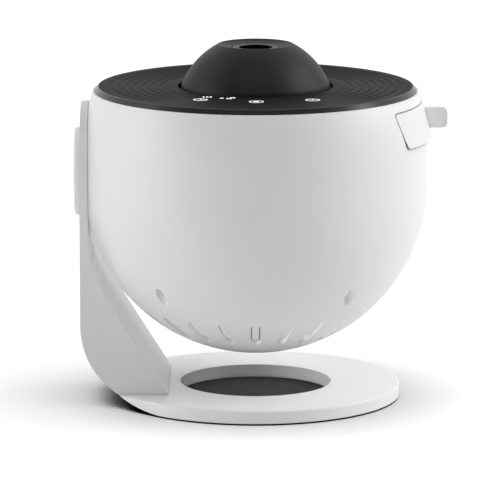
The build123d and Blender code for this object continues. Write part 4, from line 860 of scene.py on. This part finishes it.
class PROJECTOR_OT_metal(bpy.types.Operator):
    """Metal parts: heat sink, hub, ballast, motor, socket and screws"""

    bl_idname = "projector.metal"
    bl_label = "Metal parts"

    def execute(self, context):
        sink = moulded("extruded_alloy", (0.62, 0.63, 0.64), 0.38, metallic=1.0, grain=0.0003, depth=0.000003,
                       edge=0.0002, smudge=0.12, hollow_shade=0.2)
        dress(sink, "heat_sink")
        cast = moulded("cast_alloy", (0.6, 0.6, 0.61), 0.5, metallic=1.0, grain=0.0004, depth=0.00001,
                       edge=0.0004)
        dress(cast, "pivot_hub")
        steel = moulded("turned_steel", (0.5, 0.5, 0.51), 0.32, metallic=1.0, grain=0.0002, depth=0.000003,
                        edge=0.0002, smudge=0.12)
        dress(steel, "ballast_ring", "friction_washer", "pivot_nut", "motor_shaft", "drive_motor",
              "power_socket")
        zinc = moulded("dull_zinc", (0.4, 0.4, 0.41), 0.42, metallic=1.0, grain=0.00015, depth=0.000003,
                       edge=0.0002)
        dress(zinc, "base_screws", "hub_screws", "bowl_screws", "deck_screws", "fan_screws",
              "condenser_screws", "motor_screws", "tray_screws")
        return {"FINISHED"}


class PROJECTOR_OT_boards(bpy.types.Operator):
    """Circuit boards: solder mask over fine tracks, and the lamp's phosphor"""

    bl_idname = "projector.boards"
    bl_label = "Circuit boards"

    def execute(self, context):
        mask, lighter_mask, track = (0.012, 0.09, 0.035), (0.014, 0.10, 0.04), (0.03, 0.17, 0.07)
        board = moulded("board_green", mask, 0.3, grain=0.0003, depth=0.000003, edge=0.0002, coat=0.2)
        tree = board.node_tree
        tracks = tree.nodes.new("ShaderNodeTexBrick")
        tracks.inputs["Scale"].default_value = 180.0
        tracks.inputs["Mortar Size"].default_value = 0.06
        for label, colour in (("Color1", mask), ("Color2", lighter_mask), ("Mortar", track)):
            tracks.inputs[label].default_value = (*colour, 1)
        tree.links.new(place_on(tree), tracks.inputs["Vector"])
        tree.links.new(tracks.outputs["Color"], tree.nodes["Principled BSDF"].inputs["Base Color"])
        dress(board, "main_board", "touch_board", "led_board")
        lamp = moulded("lamp_phosphor", (0.85, 0.66, 0.12), 0.35, grain=0.0002, depth=0.000004, edge=0.0003)
        dress(lamp, "led_chip")
        return {"FINISHED"}


# ------------------------------------------------------------------ stage
def add_lamp(name, spot, aim, size, power, shadow=True):
    """Soft square lamp at a spot, turned towards a point; with shadow off nothing blocks its light."""
    light = bpy.data.lights.new(name, "AREA")
    light.shape = "SQUARE"
    light.size = size
    light.energy = power
    light.use_shadow = shadow
    lamp = bpy.data.objects.new(name, light)
    lamp.location = spot
    lamp.rotation_euler = (Vector(aim) - Vector(spot)).to_track_quat("-Z", "Y").to_euler()
    bpy.context.scene.collection.objects.link(lamp)


def floor_material(lift):
    """White floor. Seen directly or mirrored it is shown mostly by its own brightness, which grows to
    full white away from the object and falls where something stands close above, so that the soft
    shadow around the base stays. Distances are in metres."""
    white, seen_white = 0.92, 0.2
    reach, covered, uncovered = 0.06, 0.35, 0.62
    near, far = 0.07, 0.2
    material, tree, shader = new_material("floor_white")
    shader.inputs["Roughness"].default_value = 0.9
    shader.inputs["Specular IOR Level"].default_value = 0.0
    shader.inputs["Emission Color"].default_value = (1, 1, 1, 1)
    close = tree.nodes.new("ShaderNodeAmbientOcclusion")
    close.samples = 16
    close.inputs["Distance"].default_value = reach
    clear = math_node(tree, "POWER", close.outputs["AO"], 0.7)
    contact = range_node(tree, clear, covered, uncovered, 0.0, 1.0)
    contact.node.interpolation_type = "SMOOTHSTEP"
    open_share = math_node(tree, "MULTIPLY", clear, contact)
    path = tree.nodes.new("ShaderNodeLightPath")
    seen = math_node(tree, "MAXIMUM", path.outputs["Is Camera Ray"], path.outputs["Is Glossy Ray"])
    seen = math_node(tree, "MAXIMUM", seen, path.outputs["Is Transmission Ray"])
    shade = math_node(tree, "MULTIPLY", open_share, seen_white)
    level = range_node(tree, seen, 0.0, 1.0, white, shade)
    tone = vector_node(tree, "SCALE", first=(1, 1, 1), scale=level)
    tree.links.new(tone.outputs[0], shader.inputs["Base Color"])
    away = vector_node(tree, "LENGTH", first=place_on(tree)).outputs["Value"]
    lifted = range_node(tree, away, near, far, lift, 1.0)
    shown = math_node(tree, "MULTIPLY", math_node(tree, "MULTIPLY", seen, lifted), open_share)
    tree.links.new(shown, shader.inputs["Emission Strength"])
    return material


class PROJECTOR_OT_stage(bpy.types.Operator):
    """Studio: floor, soft lamps, room light and camera"""

    bl_idname = "projector.stage"
    bl_label = "Studio"

    def execute(self, context):
        given = context.scene.projector_studio
        scene = context.scene
        # The floor is a square sheet of a few rows, level at z = 0.
        half_floor, rows = 9.0, 7
        side = np.linspace(-half_floor, half_floor, rows) / MM
        x, y = np.meshgrid(side, side, indexing="ij")
        points = np.stack([x, y, np.zeros_like(x)], axis=-1)
        floor = make_piece("floor", points, grid_faces(rows, rows)[:, ::-1])
        floor.data.materials.append(floor_material(given.floor_lift))

        # Spots, sizes and the points aimed at are in metres.
        foot = (0, 0, 0.05)
        add_lamp("left_lamp", (-1.4, 0.05, 1.0), foot, 1.2, given.side_power * 0.4)
        add_lamp("left_low_lamp", (-1.6, -0.3, 0.3), (0, 0, 0.08), 1.0, given.side_power * 0.85, shadow=False)
        add_lamp("right_lamp", (1.4, 0.05, 1.0), foot, 1.2, given.side_power * 1.7)
        add_lamp("top_lamp", (0, -1.0, 1.5), foot, 1.4, given.top_power)

        world = bpy.data.worlds.new("room")
        scene.world = world
        world.use_nodes = True
        tree = world.node_tree
        background = tree.nodes["Background"]
        background.inputs["Color"].default_value = (1, 1, 1, 1)
        # The room is dark in front and a white backdrop stands behind: y is the direction's depth part.
        # Light on the object is sky + back max(y, 0)^3; mirrored, it goes from dim to plain white, and
        # seen directly it is plain white.
        way = tree.nodes.new("ShaderNodeSeparateXYZ")
        tree.links.new(tree.nodes.new("ShaderNodeTexCoord").outputs["Generated"], way.inputs[0])
        depth = math_node(tree, "MAXIMUM", way.outputs["Y"], 0.0)
        backdrop = math_node(tree, "MULTIPLY", math_node(tree, "POWER", depth, 3.0), given.back_strength)
        light = math_node(tree, "ADD", backdrop, given.sky_strength)
        dim, dim_until, white_from = 0.15, -0.2, 0.3
        mirrored = range_node(tree, way.outputs["Y"], dim_until, white_from, dim, 1.0)
        path = tree.nodes.new("ShaderNodeLightPath")
        shiny = math_node(tree, "MAXIMUM", path.outputs["Is Glossy Ray"], path.outputs["Is Transmission Ray"])
        strength = range_node(tree, shiny, 0.0, 1.0, light, mirrored)
        strength = range_node(tree, path.outputs["Is Camera Ray"], 0.0, 1.0, strength, 1.0)
        tree.links.new(strength, background.inputs["Strength"])

        lens = bpy.data.cameras.new("camera")
        lens.sensor_width = 36.0
        lens.lens = given.lens_length
        lens.clip_start = 0.05
        lens.clip_end = 60.0
        lens.dof.use_dof = False
        look_down, roll = radians(10.664), 0.0012
        camera = bpy.data.objects.new("camera", lens)
        camera.location = (0, -2.0390, 0.4485)
        camera.rotation_euler = (radians(90) - look_down, 0, roll)
        scene.collection.objects.link(camera)
        scene.camera = camera
        scene.view_settings.view_transform = "Standard"
        return {"FINISHED"}


PIECES = (
    PROJECTOR_OT_stage, PROJECTOR_OT_shell, PROJECTOR_OT_vent_bars, PROJECTOR_OT_cover,
    PROJECTOR_OT_marks, PROJECTOR_OT_dome, PROJECTOR_OT_tab, PROJECTOR_OT_gap_shade_strip,
    PROJECTOR_OT_rubber, PROJECTOR_OT_optics, PROJECTOR_OT_star_disc, PROJECTOR_OT_inner_plastic,
    PROJECTOR_OT_metal, PROJECTOR_OT_boards,
)


class PROJECTOR_PT_pieces(bpy.types.Panel):
    """Sizes, colours and pieces of the projector"""

    bl_label = "Planetarium projector"
    bl_idname = "PROJECTOR_PT_pieces"
    bl_space_type = "VIEW_3D"
    bl_region_type = "UI"
    bl_category = "Projector"

    def draw(self, context):
        for name, settings in SETTINGS.items():
            box = self.layout.box()
            for label in settings.__annotations__:
                box.prop(getattr(context.scene, name), label)
        for piece in PIECES:
            self.layout.operator(piece.bl_idname)


def register():
    for name, settings in SETTINGS.items():
        bpy.utils.register_class(settings)
        setattr(bpy.types.Scene, name, PointerProperty(type=settings))
    for piece in PIECES:
        bpy.utils.register_class(piece)
    bpy.utils.register_class(PROJECTOR_PT_pieces)


def unregister():
    bpy.utils.unregister_class(PROJECTOR_PT_pieces)
    for piece in reversed(PIECES):
        bpy.utils.unregister_class(piece)
    for name, settings in SETTINGS.items():
        delattr(bpy.types.Scene, name)
        bpy.utils.unregister_class(settings)


def main():
    register()
    for piece in PIECES:
        group, action = piece.bl_idname.split(".")
        getattr(getattr(bpy.ops, group), action)()


if __name__ == "__main__":
    main()
